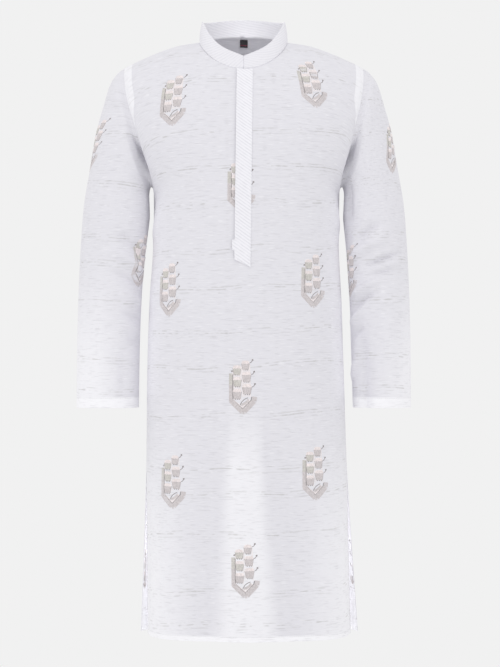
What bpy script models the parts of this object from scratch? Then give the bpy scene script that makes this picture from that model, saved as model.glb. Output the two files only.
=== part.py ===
"""Kurta tunic: a knee-length shirt with a band collar, a half placket and open side slits.

It is filled out as if worn, and hollow. +Z is up, the front faces -Y, and +X is the wearer's left.
The origin is the centre of the neck, at the height where the shoulder seams meet the collar.

Front and back are one panel each. Below the underarm a panel's rows are half superellipses. Above it
their depth closes in towards the shoulder seam, and their ends run along the armhole. Every other
piece starts from the points of a panel's edge or surface, so that it follows the panel it is sewn to.
"""

import bmesh
import bpy
import numpy as np

# Thickness of the cloth: one layer, the collar's stiffened layers, and the placket and label.
WALL = 0.0015
BAND_WALL = 0.0020
TRIM_WALL = 0.0012
# The gaps that keep sewn pieces apart.
SEAM_GAP = 0.0003
TURNED_GAP = 0.0005  # at the armholes and the neck, where the edge twists as it turns
PLACKET_GAP = 0.0004

# Heights.
HEM_Z = -1.073
SLIT_Z = -0.721
UNDERARM_Z = -0.275
CHEST_Z = -0.220  # above it the panels close in towards the shoulder
CENTRE_FRONT_Z = -0.060
CENTRE_BACK_Z = 0.016

# The neck: its half width, and how the seam drops to the front and rises to the back.
NECK_HALF_WIDTH = 0.079
NECK_POINT_Z = -0.002

# The band collar's top edge, and how far the band bows out between its seam and that edge.
BAND_TOP_HALF_WIDTH = 0.0745
BAND_TOP_FRONT_Y = -0.072
BAND_TOP_BACK_Y = 0.060
BAND_TOP_FRONT_Z = -0.036
BAND_TOP_SIDE_Z = 0.036
BAND_TOP_BACK_Z = 0.0486
BAND_BOW = 0.0015
BAND_NOTCH = 0.42  # the part of its rise from the front that is straight, which gives the notch

# The section's corners are a little squarer than an ellipse's.
SQUARENESS = 2.3
# The armhole's depth, as a part of the section's, which it reaches at this part of its height.
ARMHOLE_CUT = 0.53
ARMHOLE_FULL_AT = 0.5
# The chest widens more gently above the underarm than the armhole's edge does, and the higher the
# second number, the closer to that edge a row keeps to the chest's own width.
CHEST_EASE = 0.7
EDGE_NEARNESS = 5

# Mesh steps: columns and rows of a panel, rows of the band, and rings between a sleeve's sections.
NECK_COLUMNS = 8
SHOULDER_COLUMNS = 6
SLIT_ROWS = 4
SIDE_ROWS = 6
CHEST_ROWS = 12
BAND_ROWS = 3
SLEEVE_STEPS = (3, 1, 1, 1, 1, 1, 2, 2, 2)
PLACKET_MIDDLES = 2
LABEL_STEPS = 3
CURVE_STEPS = 400  # for measuring lengths along a section
SHARP_DEGREES = 40


def table(columns, *rows):
    """Rows of numbers as named columns."""
    return dict(zip(columns.split(), np.array(rows, dtype=float).T))


FRONT = table(
    "z half_width depth edge_y",
    (-1.073, 0.1840, 0.120, -0.012),
    (-0.900, 0.1825, 0.119, -0.006),
    (-0.721, 0.1805, 0.118, 0.000),
    (-0.560, 0.1770, 0.117, 0.000),
    (-0.470, 0.1740, 0.116, 0.000),
    (-0.380, 0.1685, 0.116, 0.000),
    (-0.275, 0.1683, 0.118, 0.000),
)
BACK = table(
    "z half_width depth edge_y",
    (-1.073, 0.1975, 0.118, 0.010),
    (-0.900, 0.1880, 0.117, 0.005),
    (-0.721, 0.1805, 0.115, 0.000),
    (-0.560, 0.1770, 0.106, 0.000),
    (-0.470, 0.1740, 0.101, 0.000),
    (-0.380, 0.1685, 0.104, 0.000),
    (-0.275, 0.1683, 0.112, 0.000),
)
# Where the middle of the garment stands, because it leans a little to one side.
LEAN = table(
    "z x",
    (-1.073, 0.0078),
    (-0.721, 0.0023),
    (-0.560, 0.0008),
    (-0.380, 0.0018),
    (-0.275, 0.0030),
    (-0.100, -0.0015),
    (0.050, -0.0030),
)
SHOULDER = table(
    "x z",
    (0.0790, -0.0020),
    (0.1210, -0.0090),
    (0.1550, -0.0205),
    (0.1900, -0.0355),
    (0.2165, -0.0480),
)
ARMHOLE = table(
    "z x",
    (-0.275, 0.1683),
    (-0.262, 0.1702),
    (-0.243, 0.1738),
    (-0.200, 0.1865),
    (-0.155, 0.1985),
    (-0.115, 0.2095),
    (-0.060, 0.2165),
    (-0.048, 0.2165),
)
# The sleeve's rings after the armhole: each passes an outer and an inner point. The outer points of
# both sleeves stand a little to the wearer's right.
SLEEVE = table(
    "outer_x outer_z inner_x inner_z half_depth middle_y",
    (0.2400, -0.0730, 0.1735, -0.2640, 0.0600, 0.000),
    (0.2550, -0.1180, 0.1775, -0.2760, 0.0580, 0.000),
    (0.2680, -0.1660, 0.1770, -0.2980, 0.0570, 0.000),
    (0.2790, -0.2300, 0.1765, -0.3220, 0.0560, 0.000),
    (0.2900, -0.2950, 0.1800, -0.3550, 0.0550, -0.001),
    (0.2955, -0.3650, 0.1840, -0.3950, 0.0530, -0.003),
    (0.2995, -0.4500, 0.1888, -0.4600, 0.0510, -0.006),
    (0.3020, -0.5500, 0.1920, -0.5520, 0.0480, -0.009),
    (0.3030, -0.6640, 0.1945, -0.6640, 0.0460, -0.011),
)
OUTER_LEAN = -0.002
# The placket's edges, with a small tab on one side near its slanted end.
PLACKET = table(
    "z left right",
    (-0.4000, -0.0180, 0.0100),
    (-0.3850, -0.0180, 0.0102),
    (-0.3830, -0.0222, 0.0102),
    (-0.3660, -0.0220, 0.0104),
    (-0.3640, -0.0176, 0.0104),
    (-0.0600, -0.0140, 0.0140),
)
PLACKET_SLANT = 0.0135  # how much lower the end is on the right

# The label inside the back neck.
LABEL_LEFT, LABEL_RIGHT = -0.0101, 0.0054
LABEL_TOP, LABEL_BOTTOM = 0.0130, -0.0010

SLUB_WHITE, SLUB_ROUGHNESS = (0.78, 0.78, 0.80), 0.9
STRIPE_WHITE, STRIPE_ROUGHNESS = (0.87, 0.87, 0.90), 0.85
LABEL_BLACK, LABEL_ROUGHNESS = (0.02, 0.018, 0.02), 0.7

# Which way a panel faces, its sections and how roundly it closes in, the height its curve would reach
# over the neck, and the neckline: its centre's height, and how squarely it gets there.
FRONT_SIDE = {
    "facing": -1,
    "sections": FRONT,
    "closing": 0.526,
    "crown": 0.022,
    "crown_power": 2.0,
    "centre_z": CENTRE_FRONT_Z,
    "neck_shape": 2,
    "neck_power": 0.65,
}
BACK_SIDE = {
    "facing": 1,
    "sections": BACK,
    "closing": 0.385,
    "crown": 0.037,
    "crown_power": 1.5,
    "centre_z": CENTRE_BACK_Z,
    "neck_shape": 4,
    "neck_power": 1.2,
}


def smooth(keys, values, at):
    """A smooth curve through the values at their keys, read at other keys."""
    order = np.argsort(keys)
    keys, values = keys[order], values[order]
    slopes = np.gradient(values, keys)
    at = np.clip(at, keys[0], keys[-1])
    i = np.clip(np.searchsorted(keys, at) - 1, 0, len(keys) - 2)
    step = keys[i + 1] - keys[i]
    t = (at - keys[i]) / step
    start = values[i] * (1 + 2 * t) * (1 - t) ** 2 + slopes[i] * step * t * (1 - t) ** 2
    end = values[i + 1] * t**2 * (3 - 2 * t) - slopes[i + 1] * step * t**2 * (1 - t)
    return start + end


def unit(vectors):
    """Each vector at length 1."""
    return vectors / np.linalg.norm(vectors, axis=-1, keepdims=True)


def superellipse(x):
    """How deep the section is at x, with both from 0 to 1."""
    return np.clip(1 - np.abs(x) ** SQUARENESS, 0, 1) ** (1 / SQUARENESS)


def even_steps(half_width, depth, fractions):
    """The x of points at equal lengths along half a section."""
    angle = np.linspace(0, np.pi / 2, CURVE_STEPS)
    x = half_width * np.sin(angle) ** (2 / SQUARENESS)
    y = depth * np.cos(angle) ** (2 / SQUARENESS)
    length = np.concatenate([[0], np.cumsum(np.hypot(np.diff(x), np.diff(y)))])
    return np.sign(fractions) * np.interp(np.abs(fractions) * length[-1], length, x)


def lean(z):
    """How far the garment's middle is moved in x at a height."""
    return smooth(LEAN["z"], LEAN["x"], z)


def inside_neck(x, side):
    """How far inside the neck an x is: 1 at its centre, 0 at the shoulder seams and beyond."""
    return np.clip(1 - (np.abs(x) / NECK_HALF_WIDTH) ** side["neck_shape"], 0, 1)


def ridge(x, side):
    """The height where the panel closes to no depth: the shoulder seam, and a crown inside the neck."""
    seam = smooth(SHOULDER["x"], SHOULDER["z"], np.abs(x))
    return seam + side["crown"] * inside_neck(x, side) ** side["crown_power"]


def panel_depth(x, z, side):
    """How far the panel stands from the y = 0 plane at x and z, above the underarm."""
    depth = smooth(side["sections"]["z"], side["sections"]["depth"], z)
    rise = np.clip((z - CHEST_Z) / (ridge(x, side) - CHEST_Z), 0, 1)
    climb = np.clip((z - UNDERARM_Z) / (ARMHOLE["z"][-1] - UNDERARM_Z) / ARMHOLE_FULL_AT, 0, 1)
    cut = ARMHOLE_CUT * np.sqrt(1 - (1 - climb) ** 2)
    edge_x = smooth(ARMHOLE["z"], ARMHOLE["x"], z)
    edge_reach = edge_x / superellipse(cut)
    share = np.clip((z - UNDERARM_Z) / (ARMHOLE["z"][-1] - UNDERARM_Z), 0, 1)
    widening = (share**2 * (3 - 2 * share)) ** CHEST_EASE
    low, high = ARMHOLE["x"][0], ARMHOLE["x"][-1] / superellipse(ARMHOLE_CUT)
    chest_reach = low + (high - low) * widening
    near_edge = np.clip(np.abs(x) / edge_x, 0, 1) ** EDGE_NEARNESS
    reach = chest_reach + (edge_reach - chest_reach) * near_edge
    return depth * (1 - rise**2) ** side["closing"] * superellipse(x / reach)


def top_edge(u, side):
    """The panel's top edge, the shoulder seams with the neckline between them, as x and z."""
    neck_share = NECK_COLUMNS / (NECK_COLUMNS + SHOULDER_COLUMNS)
    along_neck = np.clip(np.abs(u) / neck_share, 0, 1)
    along_seam = np.clip((np.abs(u) - neck_share) / (1 - neck_share), 0, 1)
    x = NECK_HALF_WIDTH * np.sin(along_neck * np.pi / 2)
    x = x + (SHOULDER["x"][-1] - NECK_HALF_WIDTH) * along_seam
    neckline = NECK_POINT_Z + (side["centre_z"] - NECK_POINT_Z) * inside_neck(x, side) ** side["neck_power"]
    z = np.where(along_seam > 0, smooth(SHOULDER["x"], SHOULDER["z"], x), neckline)
    return np.sign(u) * x, z


def skirt_row(u, z, side):
    """One level row below the underarm."""
    sections = side["sections"]
    half_width, depth = (smooth(sections["z"], sections[name], z) for name in ("half_width", "depth"))
    edge_y = np.interp(z, sections["z"], sections["edge_y"])
    x = even_steps(half_width, depth, u)
    y = edge_y + side["facing"] * (depth - abs(edge_y)) * superellipse(x / half_width)
    return np.stack([x, y, np.full_like(x, z)], axis=-1)


def chest_row(u, w, side):
    """One row above the underarm, from the armhole's foot at w = 0 to the panel's top edge at w = 1."""
    top_x, top_z = top_edge(u, side)
    climb = (1 - np.cos(np.pi * w)) / 2
    z = UNDERARM_Z + (top_z - UNDERARM_Z) * climb
    low = skirt_row(u, UNDERARM_Z, side)[:, 0] / ARMHOLE["x"][0]
    high = top_x / SHOULDER["x"][-1]
    share = low + (high - low) * w**2 * (3 - 2 * w)
    end_z = UNDERARM_Z + (ARMHOLE["z"][-1] - UNDERARM_Z) * climb
    x = share * smooth(ARMHOLE["z"], ARMHOLE["x"], end_z)
    return np.stack([x, side["facing"] * panel_depth(x, z, side), z], axis=-1)


def panel(side):
    """A panel's middle points from hem to top, seen from outside from left to right, and its normals."""
    count = NECK_COLUMNS + SHOULDER_COLUMNS
    u = -side["facing"] * np.linspace(-1, 1, 2 * count + 1)
    slit = np.linspace(HEM_Z, SLIT_Z, SLIT_ROWS + 1)
    sides = np.linspace(SLIT_Z, UNDERARM_Z, SIDE_ROWS + 1)[1:]
    climbs = np.linspace(0, 1, CHEST_ROWS + 1)[1:]
    rows = [skirt_row(u, z, side) for z in np.concatenate([slit, sides])]
    rows += [chest_row(u, w, side) for w in climbs]
    points = np.array(rows)
    points[..., 0] += lean(points[..., 2])
    normals = grid_normals(points)
    seams = [(slice(None), 0), (slice(None), -1), (-1, slice(0, SHOULDER_COLUMNS + 1))]
    seams.append((-1, slice(-SHOULDER_COLUMNS - 1, None)))
    on_seam = np.abs(points[..., 1]) < SEAM_GAP
    for seam in seams:
        level = normals[seam]
        level[on_seam[seam], 1] = 0
        normals[seam] = unit(level)
    points[..., 1] += side["facing"] * SEAM_GAP / 2
    return points, normals


def grid_normals(points, ring=False):
    """The normals of a grid of points, on the side that its rows and columns turn to."""
    if ring:
        across = np.roll(points, -1, axis=1) - np.roll(points, 1, axis=1)
    else:
        across = np.gradient(points, axis=1)
    return unit(np.cross(across, np.gradient(points, axis=0)))


def shell(points, normals, wall, ring=False):
    """The vertices and faces of a closed wall around a grid of middle points."""
    rows, columns = points.shape[:2]
    outer = points + normals * wall / 2
    inner = points - normals * wall / 2
    vertices = np.concatenate([outer.reshape(-1, 3), inner.reshape(-1, 3)])
    below = rows * columns
    last = columns if ring else columns - 1
    faces = []
    for j in range(rows - 1):
        for i in range(last):
            k = (i + 1) % columns
            quad = (j * columns + i, j * columns + k, (j + 1) * columns + k, (j + 1) * columns + i)
            faces.append(quad)
            faces.append(tuple(v + below for v in reversed(quad)))
    rim = [(i, (i + 1) % columns) for i in range(last)]
    rim += [((rows - 1) * columns + b, (rows - 1) * columns + a) for a, b in rim[:last]]
    if not ring:
        rim += [((j + 1) * columns, j * columns) for j in range(rows - 1)]
        rim += [(j * columns + last, (j + 1) * columns + last) for j in range(rows - 1)]
    faces += [(b, a, a + below, b + below) for a, b in rim]
    return vertices, faces


def armhole(front, back, left):
    """The armhole's ring of points and normals on the wearer's left or right, from the underarm round."""
    start = SLIT_ROWS + SIDE_ROWS
    columns = (-1, 0) if left else (0, -1)
    ring = []
    for grids in (0, 1):
        fore = front[grids][start:, columns[0]]
        rear = back[grids][start:, columns[1]]
        foot, tip = (fore[0] + rear[0]) / 2, (fore[-1] + rear[-1]) / 2
        up, down = (rear, fore) if left else (fore, rear)
        ring.append(np.vstack([foot, up[1:-1], tip, down[-2:0:-1]]))
    return ring[0], unit(ring[1])


def sleeve_rings(left):
    """The sleeve's oval sections, each starting at its inner point as the armhole does at its foot."""
    side = 1 if left else -1
    turn = np.arange(2 * CHEST_ROWS) * np.pi / CHEST_ROWS
    outer = np.stack([side * SLEEVE["outer_x"] + OUTER_LEAN, SLEEVE["middle_y"], SLEEVE["outer_z"]], -1)
    inner_x = side * SLEEVE["inner_x"] + lean(SLEEVE["inner_z"])
    inner = np.stack([inner_x, SLEEVE["middle_y"], SLEEVE["inner_z"]], -1)
    middle = (outer + inner) / 2
    rings = middle[:, None] - (outer - middle)[:, None] * np.cos(turn)[None, :, None]
    rings[..., 1] += side * SLEEVE["half_depth"][:, None] * np.sin(turn)[None, :]
    return rings


def sleeve(front, back, left):
    """A sleeve's middle points from armhole to cuff, and its normals.

    It leaves the armhole in the panels' own direction and then runs smoothly through its rings.
    """
    start, start_normals = armhole(front, back, left)
    tangents = unit(np.roll(start, -1, axis=0) - np.roll(start, 1, axis=0))
    onward = unit(np.cross(start_normals, tangents))
    stations = np.concatenate([start[None], sleeve_rings(left)])
    slopes = np.gradient(stations, axis=0)
    slopes[0] = onward * np.linalg.norm(stations[1] - stations[0], axis=-1, keepdims=True)
    rows = [start + onward * TURNED_GAP]
    for k, steps in enumerate(SLEEVE_STEPS):
        for t in np.linspace(0, 1, steps + 1)[1:]:
            begin = stations[k] * (1 + 2 * t) * (1 - t) ** 2 + slopes[k] * t * (1 - t) ** 2
            end = stations[k + 1] * t**2 * (3 - 2 * t) - slopes[k + 1] * t**2 * (1 - t)
            rows.append(begin + end)
    points = np.array(rows)
    normals = grid_normals(points, ring=True)
    normals[0] = start_normals
    return points, normals


def neck_seam(front, back):
    """The neckline's points and normals, from the centre front round the back to the centre front."""
    middle = NECK_COLUMNS + SHOULDER_COLUMNS
    half, whole = slice(middle, middle + NECK_COLUMNS), slice(SHOULDER_COLUMNS, -SHOULDER_COLUMNS)
    other_half = slice(SHOULDER_COLUMNS + 1, middle + 1)
    return [np.vstack([front[k][-1, half], back[k][-1, whole], front[k][-1, other_half]]) for k in (0, 1)]


def band_top(turn):
    """The collar's top edge: a notch at the front, high sides and a gentle rise at the back."""
    sideways = np.abs(np.sin(turn))
    ahead = np.cos(turn) > 0
    side = np.where(ahead, BAND_NOTCH * sideways + (1 - BAND_NOTCH) * sideways**4, sideways**2)
    end_z = np.where(ahead, BAND_TOP_FRONT_Z, BAND_TOP_BACK_Z)
    end_y = np.where(ahead, -BAND_TOP_FRONT_Y, BAND_TOP_BACK_Y)
    top_z = end_z + (BAND_TOP_SIDE_Z - end_z) * side
    return np.stack([BAND_TOP_HALF_WIDTH * np.sin(turn) + lean(top_z), -end_y * np.cos(turn), top_z], -1)


def band_collar(front, back):
    """The collar's middle points and normals, from its seam up, from one end at the front to the other."""
    seam, seam_normals = neck_seam(front, back)
    turn = np.linspace(0, 2 * np.pi, len(seam))
    top = band_top(turn)
    along = unit(np.gradient(seam, axis=0))
    up = top - seam
    up = unit(up - along * np.sum(up * along, -1, keepdims=True))
    foot = seam + up * (TURNED_GAP + WALL / 2 * np.abs(np.sum(seam_normals * up, -1, keepdims=True)))
    outward = np.stack([np.sin(turn), -np.cos(turn), np.zeros_like(turn)], -1)
    shares = np.linspace(0, 1, BAND_ROWS + 1)
    points = np.array([foot + (top - foot) * v + outward * BAND_BOW * np.sin(np.pi * v) for v in shares])
    points[:, 0, 0] = lean(points[:, 0, 2]) + SEAM_GAP
    points[:, -1, 0] = lean(points[:, -1, 2]) - SEAM_GAP
    normals = grid_normals(points)
    normals[:, (0, -1), 0] = 0
    return points, unit(normals)


def on_panel(grid, x, z):
    """The points and normals of a panel at an x and a z, read along its rows and then up them."""
    points, normals = grid
    order = slice(None) if points[0, 0, 0] < points[0, -1, 0] else slice(None, None, -1)
    both = np.concatenate([points, normals], axis=-1)[:, order]
    column = np.array([[np.interp(x, row[:, 0], row[:, k]) for k in range(6)] for row in both])
    place = np.array([np.interp(z, column[:, 2], column[:, k]) for k in range(6)])
    return place[:3], unit(place[3:])


def placket(front):
    """The placket's middle points and normals: panel points moved out, at the panel's own rows."""
    centre = front[0][:, NECK_COLUMNS + SHOULDER_COLUMNS, 2]
    low, high = PLACKET["z"][0], centre[-1] - SEAM_GAP
    own_rows = centre[(centre > PLACKET["z"][-2]) & (centre < high)]
    points, normals = [], []
    for z in np.concatenate([PLACKET["z"][:-1], own_rows, [high]]):
        left, right = (np.interp(z, PLACKET["z"], PLACKET[name]) for name in ("left", "right"))
        drop = max(0, PLACKET_SLANT - (z - low))
        row = []
        for share in np.linspace(0, 1, PLACKET_MIDDLES + 3):
            row.append(on_panel(front, left + (right - left) * share, z - drop * share))
        points.append([p for p, _ in row])
        normals.append([n for _, n in row])
    points, normals = np.array(points), np.array(normals)
    return points + normals * (WALL / 2 + PLACKET_GAP + TRIM_WALL / 2), normals


def neck_label(back):
    """The label's middle points and normals: points of the back panel moved in."""
    points, normals = [], []
    for z in np.linspace(LABEL_BOTTOM, LABEL_TOP, LABEL_STEPS + 1):
        row = [on_panel(back, x, z) for x in np.linspace(LABEL_RIGHT, LABEL_LEFT, LABEL_STEPS + 1)]
        points.append([p for p, _ in row])
        normals.append([n for _, n in row])
    points, normals = np.array(points), np.array(normals)
    return points - normals * (WALL / 2 + SEAM_GAP + TRIM_WALL / 2), normals


def cloth_material(name, colour, roughness):
    """A plain, matt cloth finish."""
    material = bpy.data.materials.new(name)
    material.use_nodes = True
    shader = material.node_tree.nodes["Principled BSDF"]
    shader.inputs["Base Color"].default_value = (*colour, 1)
    shader.inputs["Roughness"].default_value = roughness
    shader.inputs["Metallic"].default_value = 0
    return material


def add_piece(name, grid, wall, material, ring=False):
    """One sewn piece as a closed wall of cloth."""
    vertices, faces = shell(*grid, wall, ring)
    mesh = bpy.data.meshes.new(name)
    mesh.from_pydata(vertices.tolist(), [], faces)
    work = bmesh.new()
    work.from_mesh(mesh)
    bmesh.ops.recalc_face_normals(work, faces=work.faces)
    work.to_mesh(mesh)
    work.free()
    mesh.shade_smooth()
    mesh.set_sharp_from_angle(angle=np.radians(SHARP_DEGREES))
    mesh.materials.append(material)
    piece = bpy.data.objects.new(name, mesh)
    bpy.context.scene.collection.objects.link(piece)
    return piece


def main():
    """Clears the scene and makes every piece."""
    for old in list(bpy.data.objects):
        bpy.data.objects.remove(old)
    slub = cloth_material("slub_cotton", SLUB_WHITE, SLUB_ROUGHNESS)
    stripe = cloth_material("striped_cotton", STRIPE_WHITE, STRIPE_ROUGHNESS)
    woven = cloth_material("woven_label", LABEL_BLACK, LABEL_ROUGHNESS)
    front, back = panel(FRONT_SIDE), panel(BACK_SIDE)
    add_piece("front_body", front, WALL, slub)
    add_piece("back_body", back, WALL, slub)
    for name, left in (("sleeve_left", True), ("sleeve_right", False)):
        add_piece(name, sleeve(front, back, left), WALL, slub, ring=True)
    add_piece("collar", band_collar(front, back), BAND_WALL, stripe)
    add_piece("placket", placket(front), TRIM_WALL, stripe)
    add_piece("neck_label", neck_label(back), TRIM_WALL, woven)


main()
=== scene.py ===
# %% [markdown]
# # A kurta tunic in white slub cotton
# A kurta is a long, straight shirt. This one has a band collar, a half placket, long sleeves and
# side slits, and small figures embroidered on the cloth. It stands hollow, as if someone wore it,
# with its front facing -Y and the wearer's left at +X. Lengths are in metres.
#
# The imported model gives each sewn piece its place. Every piece here is drawn again as thin cloth
# over the same form, with its folds, turned edges, stitches and embroidery.

import bmesh
import bpy
import numpy as np
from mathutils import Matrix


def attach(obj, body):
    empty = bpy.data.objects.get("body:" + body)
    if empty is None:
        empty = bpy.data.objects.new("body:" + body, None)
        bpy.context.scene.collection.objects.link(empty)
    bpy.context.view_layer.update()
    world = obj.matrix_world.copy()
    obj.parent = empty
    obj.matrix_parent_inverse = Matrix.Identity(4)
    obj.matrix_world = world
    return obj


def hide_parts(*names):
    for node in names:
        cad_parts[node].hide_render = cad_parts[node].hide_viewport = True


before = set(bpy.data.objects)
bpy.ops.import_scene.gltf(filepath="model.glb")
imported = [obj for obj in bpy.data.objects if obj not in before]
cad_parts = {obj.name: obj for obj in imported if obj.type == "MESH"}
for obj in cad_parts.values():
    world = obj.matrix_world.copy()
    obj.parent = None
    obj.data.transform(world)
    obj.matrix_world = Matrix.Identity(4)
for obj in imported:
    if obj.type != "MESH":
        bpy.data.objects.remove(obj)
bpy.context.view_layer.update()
print("pieces:", sorted(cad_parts))

# %% [markdown]
# ## The camera
# A garment on a figure is shown from far away with a long lens, so that hem and collar are both
# seen almost level. A short lens close by would bend the hem and widen the chest.

# %% Camera
CAMERA_PLACE = (0.0091, -3.5, -0.5305)
VIEW_HEIGHT = 1.214
SENSOR = 36.0
LEVEL = (np.pi / 2, 0, 0)  # the turn that makes a camera look along +Y


def add_object(name, data, place=(0, 0, 0), turn=(0, 0, 0)):
    """A new object in the scene."""
    thing = bpy.data.objects.new(name, data)
    thing.location, thing.rotation_euler = place, turn
    bpy.context.scene.collection.objects.link(thing)
    return thing


lens = bpy.data.cameras.new("camera")
lens.sensor_width = SENSOR
lens.lens = SENSOR * -CAMERA_PLACE[1] / VIEW_HEIGHT
bpy.context.scene.camera = add_object("camera", lens, CAMERA_PLACE, LEVEL)
print("lens:", round(lens.lens, 1), "mm")

# %% [markdown]
# ## Tables and smooth curves
# A pattern cutter keeps a size chart: one row for each level of the garment. A smooth curve
# through the rows gives every level between them. A curve of the Hermite kind passes exactly
# through each row and has no sudden bends, which a straight line between rows would show as a
# crease.

# %% Tables and curves
def table(columns, *rows):
    """Rows of numbers as named columns."""
    return dict(zip(columns.split(), np.array(rows, dtype=float).T))


def smooth(keys, values, at):
    """A smooth curve through the values at their keys, read at other keys."""
    order = np.argsort(keys)
    keys, values = keys[order], values[order]
    slopes = np.gradient(values, keys)
    at = np.clip(at, keys[0], keys[-1])
    i = np.clip(np.searchsorted(keys, at) - 1, 0, len(keys) - 2)
    step = keys[i + 1] - keys[i]
    t = (at - keys[i]) / step
    start = values[i] * (1 + 2 * t) * (1 - t) ** 2 + slopes[i] * step * t * (1 - t) ** 2
    end = values[i + 1] * t**2 * (3 - 2 * t) - slopes[i + 1] * step * t**2 * (1 - t)
    return start + end


def ease(value, low=0.0, high=1.0):
    """0 below low, 1 above high, and a soft step between."""
    t = np.clip((value - low) / (high - low), 0, 1)
    return t * t * (3 - 2 * t)


def bell(value, centre, width):
    """1 at a centre, and falling away smoothly on both sides of it."""
    return np.exp(-(((value - centre) / width) ** 2))


def unit(vectors):
    """Each vector at length 1."""
    return vectors / np.linalg.norm(vectors, axis=-1, keepdims=True)


# %% [markdown]
# ## The size chart
# Front and back are one panel each. Below the underarm every level is half of a rounded, slightly
# square oval. Above it the panel closes in towards the shoulder seam, and its sides follow the
# armhole. These numbers are the garment's own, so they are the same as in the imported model.

# %% Size chart
HEM_Z, SLIT_Z, UNDERARM_Z, CHEST_Z = -1.073, -0.721, -0.275, -0.220
CENTRE_FRONT_Z, CENTRE_BACK_Z = -0.060, 0.016
NECK_HALF_WIDTH, NECK_POINT_Z = 0.079, -0.002
SQUARENESS = 2.3
ARMHOLE_CUT, ARMHOLE_FULL_AT = 0.53, 0.5
CHEST_EASE, EDGE_NEARNESS = 0.7, 5
NECK_SHARE = 8 / 14  # the part of a panel's columns that ends in the neckline
CURVE_STEPS = 400

FRONT = table(
    "z half_width depth edge_y",
    (-1.073, 0.1840, 0.120, -0.012),
    (-0.900, 0.1825, 0.119, -0.006),
    (-0.721, 0.1805, 0.118, 0.000),
    (-0.560, 0.1770, 0.117, 0.000),
    (-0.470, 0.1740, 0.116, 0.000),
    (-0.380, 0.1685, 0.116, 0.000),
    (-0.275, 0.1683, 0.118, 0.000),
)
BACK = table(
    "z half_width depth edge_y",
    (-1.073, 0.1975, 0.118, 0.010),
    (-0.900, 0.1880, 0.117, 0.005),
    (-0.721, 0.1805, 0.115, 0.000),
    (-0.560, 0.1770, 0.106, 0.000),
    (-0.470, 0.1740, 0.101, 0.000),
    (-0.380, 0.1685, 0.104, 0.000),
    (-0.275, 0.1683, 0.112, 0.000),
)
LEAN = table(
    "z x",
    (-1.073, 0.0078),
    (-0.721, 0.0023),
    (-0.560, 0.0008),
    (-0.380, 0.0018),
    (-0.275, 0.0030),
    (-0.100, -0.0015),
    (0.050, -0.0030),
)
SHOULDER = table(
    "x z",
    (0.0790, -0.0020),
    (0.1210, -0.0090),
    (0.1550, -0.0205),
    (0.1900, -0.0355),
    (0.2165, -0.0480),
)
ARMHOLE = table(
    "z x",
    (-0.275, 0.1683),
    (-0.262, 0.1702),
    (-0.243, 0.1738),
    (-0.200, 0.1865),
    (-0.155, 0.1985),
    (-0.115, 0.2095),
    (-0.060, 0.2165),
    (-0.048, 0.2165),
)
FRONT_SIDE = {
    "facing": -1,
    "sections": FRONT,
    "closing": 0.526,
    "crown": 0.022,
    "crown_power": 2.0,
    "centre_z": CENTRE_FRONT_Z,
    "neck_shape": 2,
    "neck_power": 0.65,
}
BACK_SIDE = {
    "facing": 1,
    "sections": BACK,
    "closing": 0.385,
    "crown": 0.037,
    "crown_power": 1.5,
    "centre_z": CENTRE_BACK_Z,
    "neck_shape": 4,
    "neck_power": 1.2,
}
print("length:", round(NECK_POINT_Z - HEM_Z, 3), "m from neck point to hem")


# %% [markdown]
# ## The form of a panel
# The rows of a panel run across it from side to side, and a grid of such rows is the easiest mesh
# to fold, to measure and to lay a weave on. Each row is worked out from the chart by formula.

# %% Panel form
def superellipse(x):
    """How deep the section is at x, with both from 0 to 1."""
    return np.clip(1 - np.abs(x) ** SQUARENESS, 0, 1) ** (1 / SQUARENESS)


def even_steps(half_width, depth, fractions):
    """The x of points at equal lengths along half a section."""
    angle = np.linspace(0, np.pi / 2, CURVE_STEPS)
    x = half_width * np.sin(angle) ** (2 / SQUARENESS)
    y = depth * np.cos(angle) ** (2 / SQUARENESS)
    length = np.concatenate([[0], np.cumsum(np.hypot(np.diff(x), np.diff(y)))])
    return np.sign(fractions) * np.interp(np.abs(fractions) * length[-1], length, x)


def lean(z):
    """How far the garment's middle is moved in x at a height."""
    return smooth(LEAN["z"], LEAN["x"], z)


def inside_neck(x, side):
    """How far inside the neck an x is: 1 at its centre, 0 at the shoulder seams and beyond."""
    return np.clip(1 - (np.abs(x) / NECK_HALF_WIDTH) ** side["neck_shape"], 0, 1)


def panel_depth(x, z, side):
    """How far the panel stands from the y = 0 plane at x and z, above the underarm."""
    depth = smooth(side["sections"]["z"], side["sections"]["depth"], z)
    ridge = smooth(SHOULDER["x"], SHOULDER["z"], np.abs(x))
    ridge = ridge + side["crown"] * inside_neck(x, side) ** side["crown_power"]
    rise = np.clip((z - CHEST_Z) / (ridge - CHEST_Z), 0, 1)
    share = np.clip((z - UNDERARM_Z) / (ARMHOLE["z"][-1] - UNDERARM_Z), 0, 1)
    cut = ARMHOLE_CUT * np.sqrt(1 - (1 - np.clip(share / ARMHOLE_FULL_AT, 0, 1)) ** 2)
    edge_x = smooth(ARMHOLE["z"], ARMHOLE["x"], z)
    edge_reach = edge_x / superellipse(cut)
    low, high = ARMHOLE["x"][0], ARMHOLE["x"][-1] / superellipse(ARMHOLE_CUT)
    chest_reach = low + (high - low) * ease(share) ** CHEST_EASE
    near_edge = np.clip(np.abs(x) / edge_x, 0, 1) ** EDGE_NEARNESS
    reach = chest_reach + (edge_reach - chest_reach) * near_edge
    return depth * (1 - rise**2) ** side["closing"] * superellipse(x / reach)


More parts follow.
